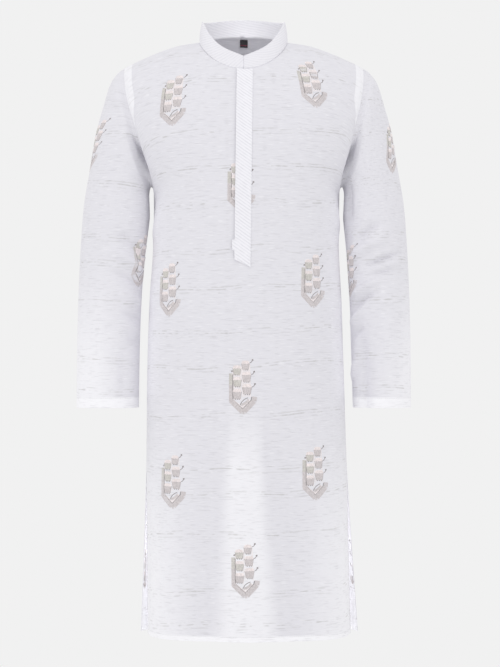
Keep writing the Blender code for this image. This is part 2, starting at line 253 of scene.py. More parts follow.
def top_edge(u, side):
    """The panel's top edge, the shoulder seams with the neckline between them, as x and z."""
    along_neck = np.clip(np.abs(u) / NECK_SHARE, 0, 1)
    along_seam = np.clip((np.abs(u) - NECK_SHARE) / (1 - NECK_SHARE), 0, 1)
    x = NECK_HALF_WIDTH * np.sin(along_neck * np.pi / 2)
    x = x + (SHOULDER["x"][-1] - NECK_HALF_WIDTH) * along_seam
    fall = inside_neck(x, side) ** side["neck_power"]
    neckline = NECK_POINT_Z + (side["centre_z"] - NECK_POINT_Z) * fall
    z = np.where(along_seam > 0, smooth(SHOULDER["x"], SHOULDER["z"], x), neckline)
    return np.sign(u) * x, z


def skirt_row(u, z, side):
    """One level row below the underarm."""
    rows = side["sections"]
    half_width, depth = (smooth(rows["z"], rows[name], z) for name in ("half_width", "depth"))
    edge_y = np.interp(z, rows["z"], rows["edge_y"])
    x = even_steps(half_width, depth, u)
    y = edge_y + side["facing"] * (depth - abs(edge_y)) * superellipse(x / half_width)
    return np.stack([x, y, np.full_like(x, z)], axis=-1)


def chest_row(u, w, side):
    """One row above the underarm, from the armhole's foot at w = 0 to the top edge at w = 1."""
    top_x, top_z = top_edge(u, side)
    climb = (1 - np.cos(np.pi * w)) / 2
    z = UNDERARM_Z + (top_z - UNDERARM_Z) * climb
    low = skirt_row(u, UNDERARM_Z, side)[:, 0] / ARMHOLE["x"][0]
    high = top_x / SHOULDER["x"][-1]
    share = low + (high - low) * ease(w)
    end_z = UNDERARM_Z + (ARMHOLE["z"][-1] - UNDERARM_Z) * climb
    x = share * smooth(ARMHOLE["z"], ARMHOLE["x"], end_z)
    return np.stack([x, side["facing"] * panel_depth(x, z, side), z], axis=-1)


# %% [markdown]
# ## Cloth that knows its flat pattern
# Real cloth is cut flat. Each grid keeps, for every point, how far it is across and along the
# flat cloth. The weave, the folds, the stitches and the embroidery are all placed in those flat
# lengths, so they bend with the cloth and never stretch. Reading a place from flat lengths uses
# an even chart of the grid, which is made once for each piece.

# %% Cloth
CHART_STEP = 0.0025


def grid_normals(points, ring=False):
    """The normals of a grid of points, on the side that its rows and columns turn to."""
    if ring:
        across = np.roll(points, -1, axis=1) - np.roll(points, 1, axis=1)
    else:
        across = np.gradient(points, axis=1)
    return unit(np.cross(across, np.gradient(points, axis=0)))


def lengths(points, axis):
    """The length from the first row or column of a grid to each point, measured on the cloth."""
    steps = np.linalg.norm(np.diff(points, axis=axis), axis=-1)
    first = np.zeros_like(np.take(steps, [0], axis=axis))
    return np.concatenate([first, np.cumsum(steps, axis=axis)], axis=axis)


class Cloth:
    """A grid of middle points with normals, and flat lengths across and along."""

    def __init__(self, points, across, along, ring=False):
        self.points, self.across, self.along, self.ring = points, across, along, ring
        self.normals = grid_normals(points, ring)
        self.even = None

    def move(self, heights):
        """Moves the points out along their normals."""
        self.points = self.points + self.normals * heights[..., None]
        self.normals = grid_normals(self.points, self.ring)
        self.even = None

    def girth(self):
        """The length right round each row of a tube."""
        columns = self.across.shape[1]
        return self.across[:, -1:] * columns / (columns - 1)

    def make_chart(self):
        """Reads the grid at even flat lengths, first across each row and then up each column."""
        both = np.concatenate([self.points, self.normals, self.along[..., None]], axis=-1)
        across = self.across
        if self.ring:
            both = np.concatenate([both, both[:, :1]], axis=1)
            across = np.concatenate([across, 2 * across[:, -1:] - across[:, -2:-1]], axis=1)
        order = 1 if self.along[-1].mean() > self.along[0].mean() else -1
        self.u = np.arange(across.min(), across.max() + CHART_STEP, CHART_STEP)
        self.v = np.arange(0, self.along.max() + CHART_STEP, CHART_STEP)
        rows = [[np.interp(self.u, a, b[:, k]) for k in range(7)] for a, b in zip(across, both)]
        rows = np.array(rows)[::order]
        self.even = np.empty((len(self.v), len(self.u), 6))
        for i in range(len(self.u)):
            for k in range(6):
                self.even[:, i, k] = np.interp(self.v, rows[:, 6, i], rows[:, k, i])

    def at(self, across, along, lift=0.0):
        """The places at flat lengths, lifted off the middle of the cloth."""
        if self.even is None:
            self.make_chart()
        i = np.clip((np.asarray(across) - self.u[0]) / CHART_STEP, 0, len(self.u) - 1.001)
        j = np.clip((np.asarray(along) - self.v[0]) / CHART_STEP, 0, len(self.v) - 1.001)
        i0, j0 = i.astype(int), j.astype(int)
        s, t = (i - i0)[..., None], (j - j0)[..., None]
        low = self.even[j0, i0] * (1 - s) + self.even[j0, i0 + 1] * s
        high = self.even[j0 + 1, i0] * (1 - s) + self.even[j0 + 1, i0 + 1] * s
        place = low * (1 - t) + high * t
        return place[..., :3] + unit(place[..., 3:]) * np.asarray(lift)[..., None]


# %% [markdown]
# ## Folds placed one by one
# Folds could come from a cloth simulation, but these are few, soft and known, so each is one row
# of a table: where its line starts and ends on the flat cloth, how wide and how high it is, and
# how much it bows sideways. A negative height is a trough. They fade out near seams, where the
# cloth is held.

# %% Folds
FOLD_TAPER = 0.38  # the share of a fold's length that it takes to rise or fall
HELD_WITHIN = 0.014  # how near to a seam the cloth is held


def fold_heights(folds, across, along):
    """How far out each point of flat cloth is moved by a table of folds."""
    heights = np.zeros_like(across)
    for u0, v0, u1, v1, width, height, bow in zip(*folds.values()):
        du, dv = u1 - u0, v1 - v0
        length = np.hypot(du, dv)
        t = ((across - u0) * du + (along - v0) * dv) / length**2
        inside = np.clip(t, 0, 1)
        away = ((across - u0) * dv - (along - v0) * du) / length + bow * 4 * inside * (1 - inside)
        ends = ease(t, 0, FOLD_TAPER), ease(1 - t, 0, FOLD_TAPER)
        heights += height * bell(away, 0, width) * ends[0] * ends[1]
    return heights


# %% [markdown]
# ## From cloth to mesh
# A sheet with no thickness would have no rim and no inside. Each piece becomes a closed thin
# wall: the grid moved out and in by half the thickness, with a rounded rim all round. Blender's
# Solidify modifier does much the same, but building the wall here also carries the flat lengths
# to both sides, as a map named "flat", and the distance to the nearest sewn edge, as a map named
# "edge".

# %% Walls
THIN = 0.0008  # one layer of cloth
RIM_ROUND = 0.35  # how far a rim stands out, as a share of the thickness
SHARP = np.radians(50)
FAR_SIDE, NEAR_SIDE = 0.7, 0.3  # shares of a tube's girth that tell a face across its closing line


def finish_mesh(name, vertices, faces, materials):
    """A smooth-shaded object from vertices and faces, which rides with the garment."""
    mesh = bpy.data.meshes.new(name)
    mesh.from_pydata(np.asarray(vertices).tolist(), [], faces)
    mesh.shade_smooth()
    mesh.set_sharp_from_angle(angle=SHARP)
    for material in materials:
        mesh.materials.append(material)
    piece = add_object(name, mesh)
    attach(piece, "root")
    return piece


def rim_loop(rows, columns, ring):
    """The grid's outer edges, each as a run of (edge point, its neighbour further in)."""
    bottom = [(i, i + columns) for i in range(columns)]
    top = [((rows - 1) * columns + i, (rows - 2) * columns + i) for i in reversed(range(columns))]
    if ring:
        return [bottom, top]
    right = [(j * columns + columns - 1, j * columns + columns - 2) for j in range(rows)]
    left = [(j * columns, j * columns + 1) for j in reversed(range(rows))]
    return [bottom + right[1:] + top[1:] + left[1:-1]]


def wall(name, cloth, thick, material, edge=None, flat=None):
    """A closed thin wall around a cloth's grid, with its flat lengths as a map."""
    rows, columns = cloth.points.shape[:2]
    middles = cloth.points.reshape(-1, 3)
    outer = (cloth.points + cloth.normals * thick / 2).reshape(-1, 3)
    inner = (cloth.points - cloth.normals * thick / 2).reshape(-1, 3)
    count = rows * columns
    last = columns if cloth.ring else columns - 1
    j, i = np.meshgrid(np.arange(rows - 1), np.arange(last), indexing="ij")
    k = (i + 1) % columns
    low, high = j * columns, (j + 1) * columns
    quads = np.stack([low + i, low + k, high + k, high + i], -1).reshape(-1, 4)
    faces = quads.tolist() + (quads[:, ::-1] + count).tolist()
    vertices = [outer, inner]
    added = 2 * count
    sources = [np.arange(count), np.arange(count)]
    for loop in rim_loop(rows, columns, cloth.ring):
        out, inside = np.array(loop).T
        vertices.append(middles[out] + unit(middles[out] - middles[inside]) * thick * RIM_ROUND)
        sources.append(out)
        ids = added + np.arange(len(loop))
        added += len(loop)
        for a in range(len(loop)):
            b = (a + 1) % len(loop)
            faces.append([out[b], out[a], ids[a], ids[b]])
            faces.append([ids[b], ids[a], out[a] + count, out[b] + count])
    piece = finish_mesh(name, np.concatenate(vertices), faces, [material])
    add_maps(piece.data, cloth, np.concatenate(sources), edge, flat or (cloth.across, cloth.along))
    return piece


def read_whole(items, word):
    """One whole number of every loop or face."""
    values = np.empty(len(items), dtype=int)
    items.foreach_get(word, values)
    return values


def add_maps(mesh, cloth, sources, edge, flat):
    """Writes the flat lengths, and the distances to the edges, as maps."""
    source = sources[read_whole(mesh.loops, "vertex_index")]
    across, along = (part.ravel()[source] for part in flat)
    if cloth.ring:
        starts, totals = (read_whole(mesh.polygons, word) for word in ("loop_start", "loop_total"))
        around = cloth.girth()[source // cloth.across.shape[1], 0]
        farthest = np.repeat(np.maximum.reduceat(across, starts), totals)
        closing = (farthest > FAR_SIDE * around) & (across < NEAR_SIDE * around)
        across = np.where(closing, around, across)
    maps = {"flat": (across, along)}
    if edge is not None:
        maps["edge"] = [grid.ravel()[source] for grid in edge]
    for name, pair in maps.items():
        values = np.stack(pair, -1).astype("f").ravel()
        mesh.uv_layers.new(name=name).uv.foreach_set("vector", values)


# %% [markdown]
# ## Writing finishes as sums
# A finish is a tree of nodes. Wiring each Math node by hand hides what it works out, so a small
# class wraps a node's output and lets Python's own signs add the nodes: `1 - mask * 0.2` makes
# two of them. Every other kind of node comes from one method, which sets its settings first and
# then its sockets.

# %% Finish helpers
class Value:
    """A number that a node gives, which Python's arithmetic can go on with."""

    def __init__(self, finish, socket):
        self.finish, self.socket = finish, socket

    def math(self, operation, *values):
        """A Math node of these values."""
        sockets = dict(enumerate(values))
        return self.finish.add("ShaderNodeMath", {"operation": operation}, sockets)

    def __add__(self, other):
        return self.math("ADD", self, other)

    def __sub__(self, other):
        return self.math("SUBTRACT", self, other)

    def __rsub__(self, other):
        return self.math("SUBTRACT", other, self)

    def __mul__(self, other):
        return self.math("MULTIPLY", self, other)

    def __truediv__(self, other):
        return self.math("DIVIDE", self, other)

    __radd__, __rmul__ = __add__, __mul__

    def floor(self):
        """The whole number below it."""
        return self.math("FLOOR", self)

    def away(self, centre):
        """How far it is from a centre."""
        return self.math("ABSOLUTE", self - centre)

    def most(self, other):
        """The larger of two values."""
        return self.math("MAXIMUM", self, other)

    def step(self, low, high):
        """0 up to low, 1 from high, and a soft step between."""
        settings = {"interpolation_type": "SMOOTHSTEP"}
        return self.finish.add("ShaderNodeMapRange", settings, {0: self, 1: low, 2: high})

    def within(self, low, high):
        """1 up to low, 0 from high, and a soft step between."""
        return 1 - self.step(low, high)


class Finish:
    """One material, with a method that adds any node to it."""

    def __init__(self, name, roughness, **constants):
        self.material = bpy.data.materials.new(name)
        self.material.use_nodes = True
        self.tree = self.material.node_tree
        self.shader = self.tree.nodes["Principled BSDF"]
        self.set(self.shader, {"Roughness": roughness, **constants})

    def set(self, node, sockets):
        """Gives a node's sockets their constants, or links values to them."""
        for name, value in sockets.items():
            if isinstance(value, Value):
                self.tree.links.new(value.socket, node.inputs[name])
            else:
                node.inputs[name].default_value = value

    def add(self, kind, settings, sockets, out=0):
        """The value that a new node gives, from its settings and sockets."""
        node = self.tree.nodes.new(kind)
        for name, value in settings.items():
            setattr(node, name, value)
        self.set(node, sockets)
        return Value(self, node.outputs[out])

    def map(self, name):
        """The two flat lengths of a map."""
        place = self.add("ShaderNodeUVMap", {"uv_map": name}, {})
        return [self.add("ShaderNodeSeparateXYZ", {}, {0: place}, k) for k in (0, 1)]

    def noise(self, u, v, length, height, layer=0.0, detail=0.0):
        """Soft noise, 0 to 1, with grains of a length across and a height along the cloth."""
        sockets = {"X": u / length, "Y": v / height, "Z": layer}
        place = self.add("ShaderNodeCombineXYZ", {}, sockets)
        sockets = {"Vector": place, "Scale": 1.0, "Detail": detail}
        return self.add("ShaderNodeTexNoise", {}, sockets)

    def mix(self, factor, under, over):
        """One colour laid over another."""
        settings = {"data_type": "RGBA"}
        return self.add("ShaderNodeMix", settings, {0: factor, 6: under, 7: over}, 2)

    def colour(self, value):
        """The finish's own colour."""
        self.set(self.shader, {"Base Color": value})

    def relief(self, height, strength):
        """Small heights in metres, shown by the light."""
        sockets = {"Height": height, "Strength": strength, "Distance": 1.0}
        self.set(self.shader, {"Normal": self.add("ShaderNodeBump", {}, sockets)})


# %% [markdown]
# ## Slub cotton
# Slub yarn is spun unevenly, so the weft has short thick stretches. Some are a little darker and
# browner than the cloth, some whiter. Every seven centimetres or so the weft also has a long
# broken line of them. Noise that is stretched far across the cloth and little along it gives such
# stretches: where it rises above a limit there is a slub, and the limit says how rare they are.
# The yarns themselves are finer noise, long one way for the weft and long the other way for the
# warp.
#
# Where two layers lie on each other the thin cloth looks whiter: at the turned hems and slits,
# and over the seam's turned edge beside the armhole. The lower skirt and the lower sleeves are
# painted paler too, with soft borders: painted light for the light that comes through from behind.

# %% Slub cotton
CLOTH_WHITE = (0.745, 0.737, 0.780, 1)
# The whiter colour of doubled layers, also used as painted light on the lower skirt and sleeves.
DOUBLED_AND_BACKLIT_WHITE = (0.905, 0.900, 0.930, 1)
SLUB_GREY = (0.480, 0.470, 0.500, 1)
SLUB_OLIVE = (0.370, 0.362, 0.330, 1)
SLUB_WHITE = (0.890, 0.885, 0.915, 1)
# Each kind of slub has a length, a height, a noise layer, and the levels where it starts and is full.
SHORT_SLUBS = (0.022, 0.0017, 40.0, 0.68, 0.76)
FINE_SLUBS = (0.013, 0.0012, 60.0, 0.60, 0.76)
PALE_SLUBS = (0.018, 0.0018, 80.0, 0.62, 0.74)
SHORT_SHARE, FINE_SHARE, PALE_SHARE, LONG_SHARE = 0.24, 0.16, 0.36, 0.37  # how strong each kind is
WEFT_LEVEL, WEFT_SHARE, PATCH_SHARE = 0.62, 0.14, 0.10
SLUB_HEIGHT, PALE_HEIGHT = 0.00022, 0.6
WEFT_HEIGHT, WARP_HEIGHT = 0.00016, 0.00010
COTTON_RELIEF = 0.8
LONG_SLUB_EVERY = 0.074
LONG_SLUB_TILT = 0.030
LONG_SLUB_WAVE = 0.022
LONG_SLUB_WIDTH = 0.0020
LONG_SLUB_BORDER = (-0.0004, 0.0006)
LONG_SLUB_BREAKS = (0.47, 0.60)
LONG_SLUB_LINES = ((0.0, 1.0), (0.06, 0.7), (-0.08, 0.5))  # each line's offset and strength
HEM_TURN = 0.0095
CUFF_TURN = 0.0190
SLIT_TURN = 0.0080
SLIT_LENGTH = SLIT_Z - HEM_Z
BORDER, SLIT_BORDER = 0.0004, 0.0005  # half the soft border of a doubled layer
SLIT_HEAD = 0.002  # how fast the slit's turned edges end above it
ARMHOLE_BAND = 0.0190
BAND_ENDS, BAND_FULL, BAND_FADE, BAND_SHARE = 0.938, 0.990, 0.01, 0.72
# The areas painted paler as painted light from behind: a centre across, where they fade sideways
# and upwards, and how strong they are.
BACKLIT_MIDDLE_CENTRE, BACKLIT_MIDDLE_ACROSS, BACKLIT_MIDDLE_UP, BACKLIT_MIDDLE_SHARE = -0.004, (0.016, 0.040), (0.28, 0.45), 0.68
BACKLIT_MIDDLE_SPREAD, BACKLIT_MIDDLE_NARROWS = 1.75, 2.2  # the middle's width at the hem, and how fast it narrows
BACKLIT_SIDES_ACROSS, BACKLIT_SIDES_UP, BACKLIT_SIDES_SHARE = (0.050, 0.165), (0.10, 0.48), 0.80
BACKLIT_LOWER_CENTRE, BACKLIT_LOWER_ACROSS, BACKLIT_LOWER_UP, BACKLIT_LOWER_SHARE = 0.145, (0.030, 0.120), (0.04, 0.30), 0.75


def yarn_relief(finish, u, v):
    """The heights of weft and warp yarns."""
    weft = finish.noise(u, v, 0.014, 0.0011, 3.0, 1.0)
    warp = finish.noise(u, v, 0.0011, 0.018, 8.0, 1.0)
    return weft, weft * WEFT_HEIGHT + warp * WARP_HEIGHT


def slubs(finish, u, v, length, height, layer, starts, full):
    """Scattered slubs, where stretched noise rises above a limit."""
    return finish.noise(u, v, length, height, layer).step(starts, full)


def long_slubs(finish, u, v):
    """Broken lines of slubs right across the cloth, each with its own place and its own breaks."""
    wave = finish.noise(u, v, 0.13, 0.30, 21.0, 1.0)
    level = (v + wave * LONG_SLUB_WAVE - u * LONG_SLUB_TILT) / LONG_SLUB_EVERY
    row = level.floor()
    shift = finish.add("ShaderNodeTexWhiteNoise", {"noise_dimensions": "1D"}, {"W": row})
    middle = shift * 0.5 + 0.25  # the line keeps to the middle half of its row
    lines = 0.0
    for k, (offset, share) in enumerate(LONG_SLUB_LINES):
        away = (level - row).away(middle + offset) * LONG_SLUB_EVERY
        breaks = finish.noise(u, row, 0.024, 0.37, 5.0 + 9 * k, 2.0)
        width = finish.noise(u, row, 0.010, 0.73, 2.0 + 7 * k) * LONG_SLUB_WIDTH
        streak = (width - away).step(*LONG_SLUB_BORDER)
        lines = streak * breaks.step(*LONG_SLUB_BREAKS) * share + lines
    return lines


def slub_cotton(name, doubled_and_backlit):
    """The cloth of body and sleeves; its second argument gives doubled layers and painted light."""
    shine = {"Sheen Weight": 0.18, "Sheen Roughness": 0.6, "Specular IOR Level": 0.18}
    finish = Finish(name, 0.92, **shine)
    u, v = finish.map("flat")
    kinds = (SHORT_SLUBS, FINE_SLUBS, PALE_SLUBS)
    short, fine, pale = (slubs(finish, u, v, *kind) for kind in kinds)
    long = long_slubs(finish, u, v)
    weft, relief = yarn_relief(finish, u, v)
    patch = finish.noise(u, v, 0.030, 0.012, 13.0, 2.0)
    # The whiter colour covers doubled layers, and painted light where light comes through from
    # behind.
    colour = finish.mix(doubled_and_backlit(finish, u, v), CLOTH_WHITE, DOUBLED_AND_BACKLIT_WHITE)
    colour = finish.mix(pale * PALE_SHARE, colour, SLUB_WHITE)
    cloudy = (WEFT_LEVEL - weft) * WEFT_SHARE + (patch - 0.5) * PATCH_SHARE
    grey = (short * SHORT_SHARE).most(fine * FINE_SHARE).most(cloudy)
    colour = finish.mix(grey, colour, SLUB_GREY)
    finish.colour(finish.mix(long * LONG_SHARE, colour, SLUB_OLIVE))
    finish.relief(relief + (short + long + pale * PALE_HEIGHT) * SLUB_HEIGHT, COTTON_RELIEF)
    return finish.material


def body_layers_and_backlight(finish, u, v):
    """The hem, slits and armhole band, and painted light that pales the lower skirt."""
    side = finish.map("edge")[0]
    hem = v.within(HEM_TURN - BORDER, HEM_TURN + BORDER)
    slit = side.within(SLIT_TURN - SLIT_BORDER, SLIT_TURN + SLIT_BORDER)
    slit = slit * v.within(SLIT_LENGTH, SLIT_LENGTH + SLIT_HEAD)
    band = (ARMHOLE_BAND * v.step(BAND_ENDS, BAND_FULL) - side).step(-BORDER, BORDER)
    band = band * v.step(BAND_ENDS, BAND_ENDS + BAND_FADE) * BAND_SHARE
    # Painted light: the middle and side edges of the lower skirt are painted paler, as if lit from
    # behind.
    spread = u.away(BACKLIT_MIDDLE_CENTRE) / (BACKLIT_MIDDLE_SPREAD - v * BACKLIT_MIDDLE_NARROWS)
    middle = spread.within(*BACKLIT_MIDDLE_ACROSS) * v.within(*BACKLIT_MIDDLE_UP) * BACKLIT_MIDDLE_SHARE
    sides = side.within(*BACKLIT_SIDES_ACROSS) * v.within(*BACKLIT_SIDES_UP) * BACKLIT_SIDES_SHARE
    return hem.most(slit).most(band).most(middle).most(sides)


def sleeve_layers_and_backlight(finish, u, v):
    """The turned cuff, and painted light that pales the lower sleeve."""
    cuff = v.within(CUFF_TURN - BORDER, CUFF_TURN + BORDER)
    # Painted light: the lower sleeve is painted paler, as if lit from behind.
    lower = v.within(*BACKLIT_LOWER_UP) * u.away(BACKLIT_LOWER_CENTRE).within(*BACKLIT_LOWER_ACROSS)
    return cuff.most(lower * BACKLIT_LOWER_SHARE)


body_cotton = slub_cotton("slub_cotton_body", body_layers_and_backlight)
sleeve_cotton = slub_cotton("slub_cotton_sleeve", sleeve_layers_and_backlight)
print("finishes:", body_cotton.name, sleeve_cotton.name)

# %% [markdown]
# ## Striped cotton, thread and label
# Collar and placket are cut from a finer, whiter cotton with narrow diagonal stripes. The placket
# lies on other layers, so it is the whiter of the two and its stripes show more. Their flat
# lengths are turned when the pieces are made, so that here the stripes simply repeat along.
# Sewing thread is white with a twist. The embroidery floss is shinier, in four soft colours. The
# label is a dark ribbon with one plain woven stripe.

# %% Other finishes
STRIPE_EVERY = 0.0048
COLLAR_WHITE = (0.800, 0.791, 0.832, 1)
PLACKET_WHITE = (0.856, 0.848, 0.890, 1)
STRIPE_GREY = (0.560, 0.560, 0.610, 1)
COLLAR_STRIPE, PLACKET_STRIPE = 0.24, 0.40  # how strong the stripes are
STRIPE_WAVER = 0.30  # how far a stripe strays, as a share of their spacing
STRIPE_EDGE = (0.06, 0.36)  # where a stripe starts to fade, and is gone
FAINT_BELOW, FULL_ABOVE, FAINTEST = 0.25, 0.65, 0.35
STRIPE_DEPTH = 0.00012
STRIPED_WEAVE, STRIPED_RELIEF = 0.7, 0.7
FLECK_SCALE, PLY_SCALE, PLY_HEIGHT = 420.0, 1900.0, 0.00012
FLECK_DARK, FLECK_EDGE = 0.86, (0.38, 0.66)
RIB_DARK, RIB_PALE = (0.012, 0.010, 0.012, 1), (0.030, 0.025, 0.030, 1)
RIB_HEIGHT = 0.0002
LABEL_RED = (0.170, 0.020, 0.045, 1)
LABEL_STRIPE_AT, LABEL_STRIPE_EDGE = 0.0042, (0.0008, 0.0011)


def striped_cotton(name, white, strength):
    """Cotton with narrow stripes of a given strength, some fainter than others."""
    finish = Finish(name, 0.88, **{"Sheen Weight": 0.12, "Specular IOR Level": 0.2})
    u, v = finish.map("flat")
    uneven = finish.noise(u, v, 0.012, 0.003, 4.0, 1.0)
    level = v / STRIPE_EVERY + uneven * STRIPE_WAVER
    stripe = (level - level.floor()).away(0.5).within(*STRIPE_EDGE)
    relief = yarn_relief(finish, u, v)[1]
    faint = uneven.step(FAINT_BELOW, FULL_ABOVE) * (1 - FAINTEST) + FAINTEST
    finish.colour(finish.mix(stripe * faint * strength, white, STRIPE_GREY))
    finish.relief(relief * STRIPED_WEAVE + stripe * -STRIPE_DEPTH, STRIPED_RELIEF)
    return finish.material


def twisted_thread(name, colour, roughness, sheen):
    """Sewing thread or floss, a little uneven in colour from stitch to stitch and ply to ply."""
    finish = Finish(name, roughness, **{"Sheen Weight": sheen, "Specular IOR Level": 0.3})
    place = finish.add("ShaderNodeTexCoord", {}, {}, "Object")
    fleck, ply = (
        finish.add("ShaderNodeTexNoise", {}, {"Vector": place, "Scale": scale, "Detail": 1.0})
        for scale in (FLECK_SCALE, PLY_SCALE)
    )
    dark = tuple(c * FLECK_DARK for c in colour[:3]) + (1,)
    finish.colour(finish.mix(fleck.step(*FLECK_EDGE), dark, colour))
    finish.relief(ply * PLY_HEIGHT, 0.6)
    return finish.material


def label_ribbon():
    """A dark ribbed ribbon with one plain stripe."""
    finish = Finish("woven_label", 0.55, **{"Sheen Weight": 0.3})
    u, v = finish.map("flat")
    stripe = v.away(LABEL_STRIPE_AT).within(*LABEL_STRIPE_EDGE)
    ribs = finish.noise(u, v, 0.0040, 0.0005, 1.0)
    finish.colour(finish.mix(stripe, finish.mix(ribs, RIB_DARK, RIB_PALE), LABEL_RED))
    finish.relief(ribs * RIB_HEIGHT, 0.6)
    return finish.material


collar_stripes = striped_cotton("striped_cotton_collar", COLLAR_WHITE, COLLAR_STRIPE)
placket_stripes = striped_cotton("striped_cotton_placket", PLACKET_WHITE, PLACKET_STRIPE)
thread = twisted_thread("sewing_thread", (0.930, 0.930, 0.945, 1), 0.7, 0.1)
seam_thread = twisted_thread("seam_thread", (0.700, 0.700, 0.725, 1), 0.8, 0.1)
FLOSS = {
    word: twisted_thread("floss_" + name, (*colour, 1), 0.6, 0.2)
    for word, name, colour in (
        ("dark", "dark_taupe", (0.350, 0.322, 0.325)),
        ("taupe", "taupe", (0.700, 0.655, 0.660)),
        ("olive", "olive_grey", (0.690, 0.668, 0.635)),
        ("blush", "blush", (0.915, 0.842, 0.838)),
    )
}
ribbon = label_ribbon()
print("threads:", [m.name for m in FLOSS.values()])

# %% [markdown]
# ## Front and back
# Cutting the panels finer at their edges lets a seam be a real groove: both pieces dip in
# together where they are sewn. The level of the underarm joins two ways of drawing the rows, so
# it is smoothed a little, as cloth would be.

# %% The panels' chart
ROW_STEP = 0.005
HEM_ROWS = np.array([0, 0.0015, 0.0050, HEM_TURN - 0.0006, HEM_TURN + 0.0006])
SIDE_ROWS, CHEST_ROWS = 89, 52
NECK_COLUMNS, SEAM_COLUMNS = 30, 25
EDGE_COLUMNS = (0.9780, 0.9945, 1)
SMOOTHED_ROWS, SMOOTHINGS, SMOOTH_EDGE = 9, 14, 0.10
GROOVE_DEPTH, GROOVE_WIDTH = 0.0008, 0.0024
FREE_BELOW, SEWN_ABOVE = 0.10, 0.01  # how soon edges hang free below a slit's head, and sink above
FLARE, FLARE_WITHIN, FLARE_BEYOND = 0.015, 0.036, (0.04, 0.13)

FRONT_FOLDS = table(
    "u0 v0 u1 v1 width height bow",
    (0.004, -0.20, -0.002, 0.50, 0.030, 0.0036, 0.004),
    (-0.074, -0.22, -0.066, 0.56, 0.030, -0.0040, -0.006),
    (0.080, -0.22, 0.074, 0.52, 0.032, -0.0040, 0.005),
    (-0.150, -0.18, -0.140, 0.44, 0.026, 0.0040, 0.004),
    (0.156, -0.18, 0.148, 0.40, 0.028, 0.0040, -0.004),
    (-0.215, -0.10, -0.205, 0.30, 0.020, -0.0030, 0.003),
    (0.218, -0.10, 0.208, 0.27, 0.021, -0.0030, -0.003),
    (-0.245, 0.74, -0.120, 0.84, 0.014, -0.0026, 0.008),
    (-0.250, 0.70, -0.130, 0.77, 0.013, 0.0022, 0.006),
    (0.248, 0.75, 0.118, 0.85, 0.015, -0.0028, -0.008),
    (0.250, 0.71, 0.140, 0.78, 0.013, 0.0022, -0.006),
    (-0.250, 0.56, -0.150, 0.60, 0.012, -0.0018, 0.004),
    (0.252, 0.53, 0.150, 0.575, 0.013, -0.0020, -0.004),
    (-0.190, 0.99, -0.085, 1.03, 0.013, 0.0018, 0.005),
    (0.195, 0.98, 0.090, 1.03, 0.014, 0.0018, -0.005),
)
BACK_FOLDS = table(
    "u0 v0 u1 v1 width height bow",
    (-0.006, -0.20, 0.004, 0.58, 0.034, -0.0040, -0.005),
    (-0.084, -0.22, -0.070, 0.60, 0.030, 0.0042, 0.006),
    (0.078, -0.22, 0.070, 0.66, 0.030, 0.0038, -0.006),
    (-0.160, -0.18, -0.150, 0.48, 0.026, -0.0038, 0.004),
    (0.152, -0.18, 0.146, 0.44, 0.028, -0.0038, -0.004),
    (-0.222, -0.10, -0.206, 0.31, 0.021, 0.0030, 0.003),
    (0.214, -0.10, 0.204, 0.26, 0.020, 0.0030, -0.003),
    (-0.060, 0.52, 0.064, 0.545, 0.011, -0.0020, 0.005),
    (-0.080, 0.55, 0.050, 0.580, 0.013, 0.0020, -0.006),
    (-0.242, 0.74, -0.125, 0.85, 0.014, -0.0028, 0.008),
    (0.244, 0.73, 0.120, 0.83, 0.015, -0.0028, -0.009),
    (0.250, 0.69, 0.135, 0.76, 0.013, 0.0022, -0.006),
    (-0.120, 1.00, 0.110, 1.005, 0.016, -0.0016, 0.012),
)
print("folds in front and back:", len(FRONT_FOLDS["u0"]), len(BACK_FOLDS["u0"]))


# %% [markdown]
# ## Building the panels
# A panel is made row by row, from hem to neck. Then the folds move it in and out. Where it is sewn
# it is held, and below the slits its edges hang free.

# %% Building the panels
def panel_columns():
    """The columns' places across half a panel, finer beside the edge, then mirrored."""
    neck = np.linspace(0, NECK_SHARE, NECK_COLUMNS)
    half = np.concatenate([neck, np.linspace(NECK_SHARE, 1, SEAM_COLUMNS)[1:-1], EDGE_COLUMNS])
    return np.concatenate([-half[:0:-1], half])


def flare_edges(points):
    """Turns the back's free edges out below the slits, by pulling in the cloth beside them."""
    across = lengths(points, 1)
    near = np.clip(1 - np.minimum(across, across[:, -1:] - across) / FLARE_WITHIN, 0, 1)
    free = ease((SLIT_Z - points[..., 2]) / SLIT_LENGTH)
    inward = -np.sign(points[..., 0]) * ease(np.abs(points[..., 0]), *FLARE_BEYOND)
    points[..., 0] += FLARE * free * (1 - near**2) * inward


def panel(side):
    """A panel as cloth, from hem to neck, seen from outside from left to right."""
    u = -side["facing"] * panel_columns()
    hem = HEM_Z + HEM_ROWS
    slit = np.arange(hem[-1] + ROW_STEP, SLIT_Z - ROW_STEP / 2, ROW_STEP)
    sides = np.linspace(SLIT_Z, UNDERARM_Z, SIDE_ROWS)
    climbs = np.linspace(0, 1, CHEST_ROWS + 1)[1:]
    rows = [skirt_row(u, z, side) for z in np.concatenate([hem, slit, sides])]
    rows += [chest_row(u, w, side) for w in climbs]
    points = np.array(rows)
    points[..., 0] += lean(points[..., 2])
    start = len(points) - CHEST_ROWS - 1
    zone = np.arange(start - SMOOTHED_ROWS, start + SMOOTHED_ROWS + 1)
    inner = ease(1 - np.abs(u), 0, SMOOTH_EDGE)[None, :, None]
    near = ease(1 - np.abs(zone - start) / SMOOTHED_ROWS)[:, None, None]
    for _ in range(SMOOTHINGS):
        between = (points[zone - 1] + points[zone + 1]) / 2
        points[zone] += (between - points[zone]) * inner * near
    if side is BACK_SIDE:
        flare_edges(points)
    across = lengths(points, 1)
    across = across - across[:, across.shape[1] // 2, None]
    return Cloth(points, across, lengths(points, 0))


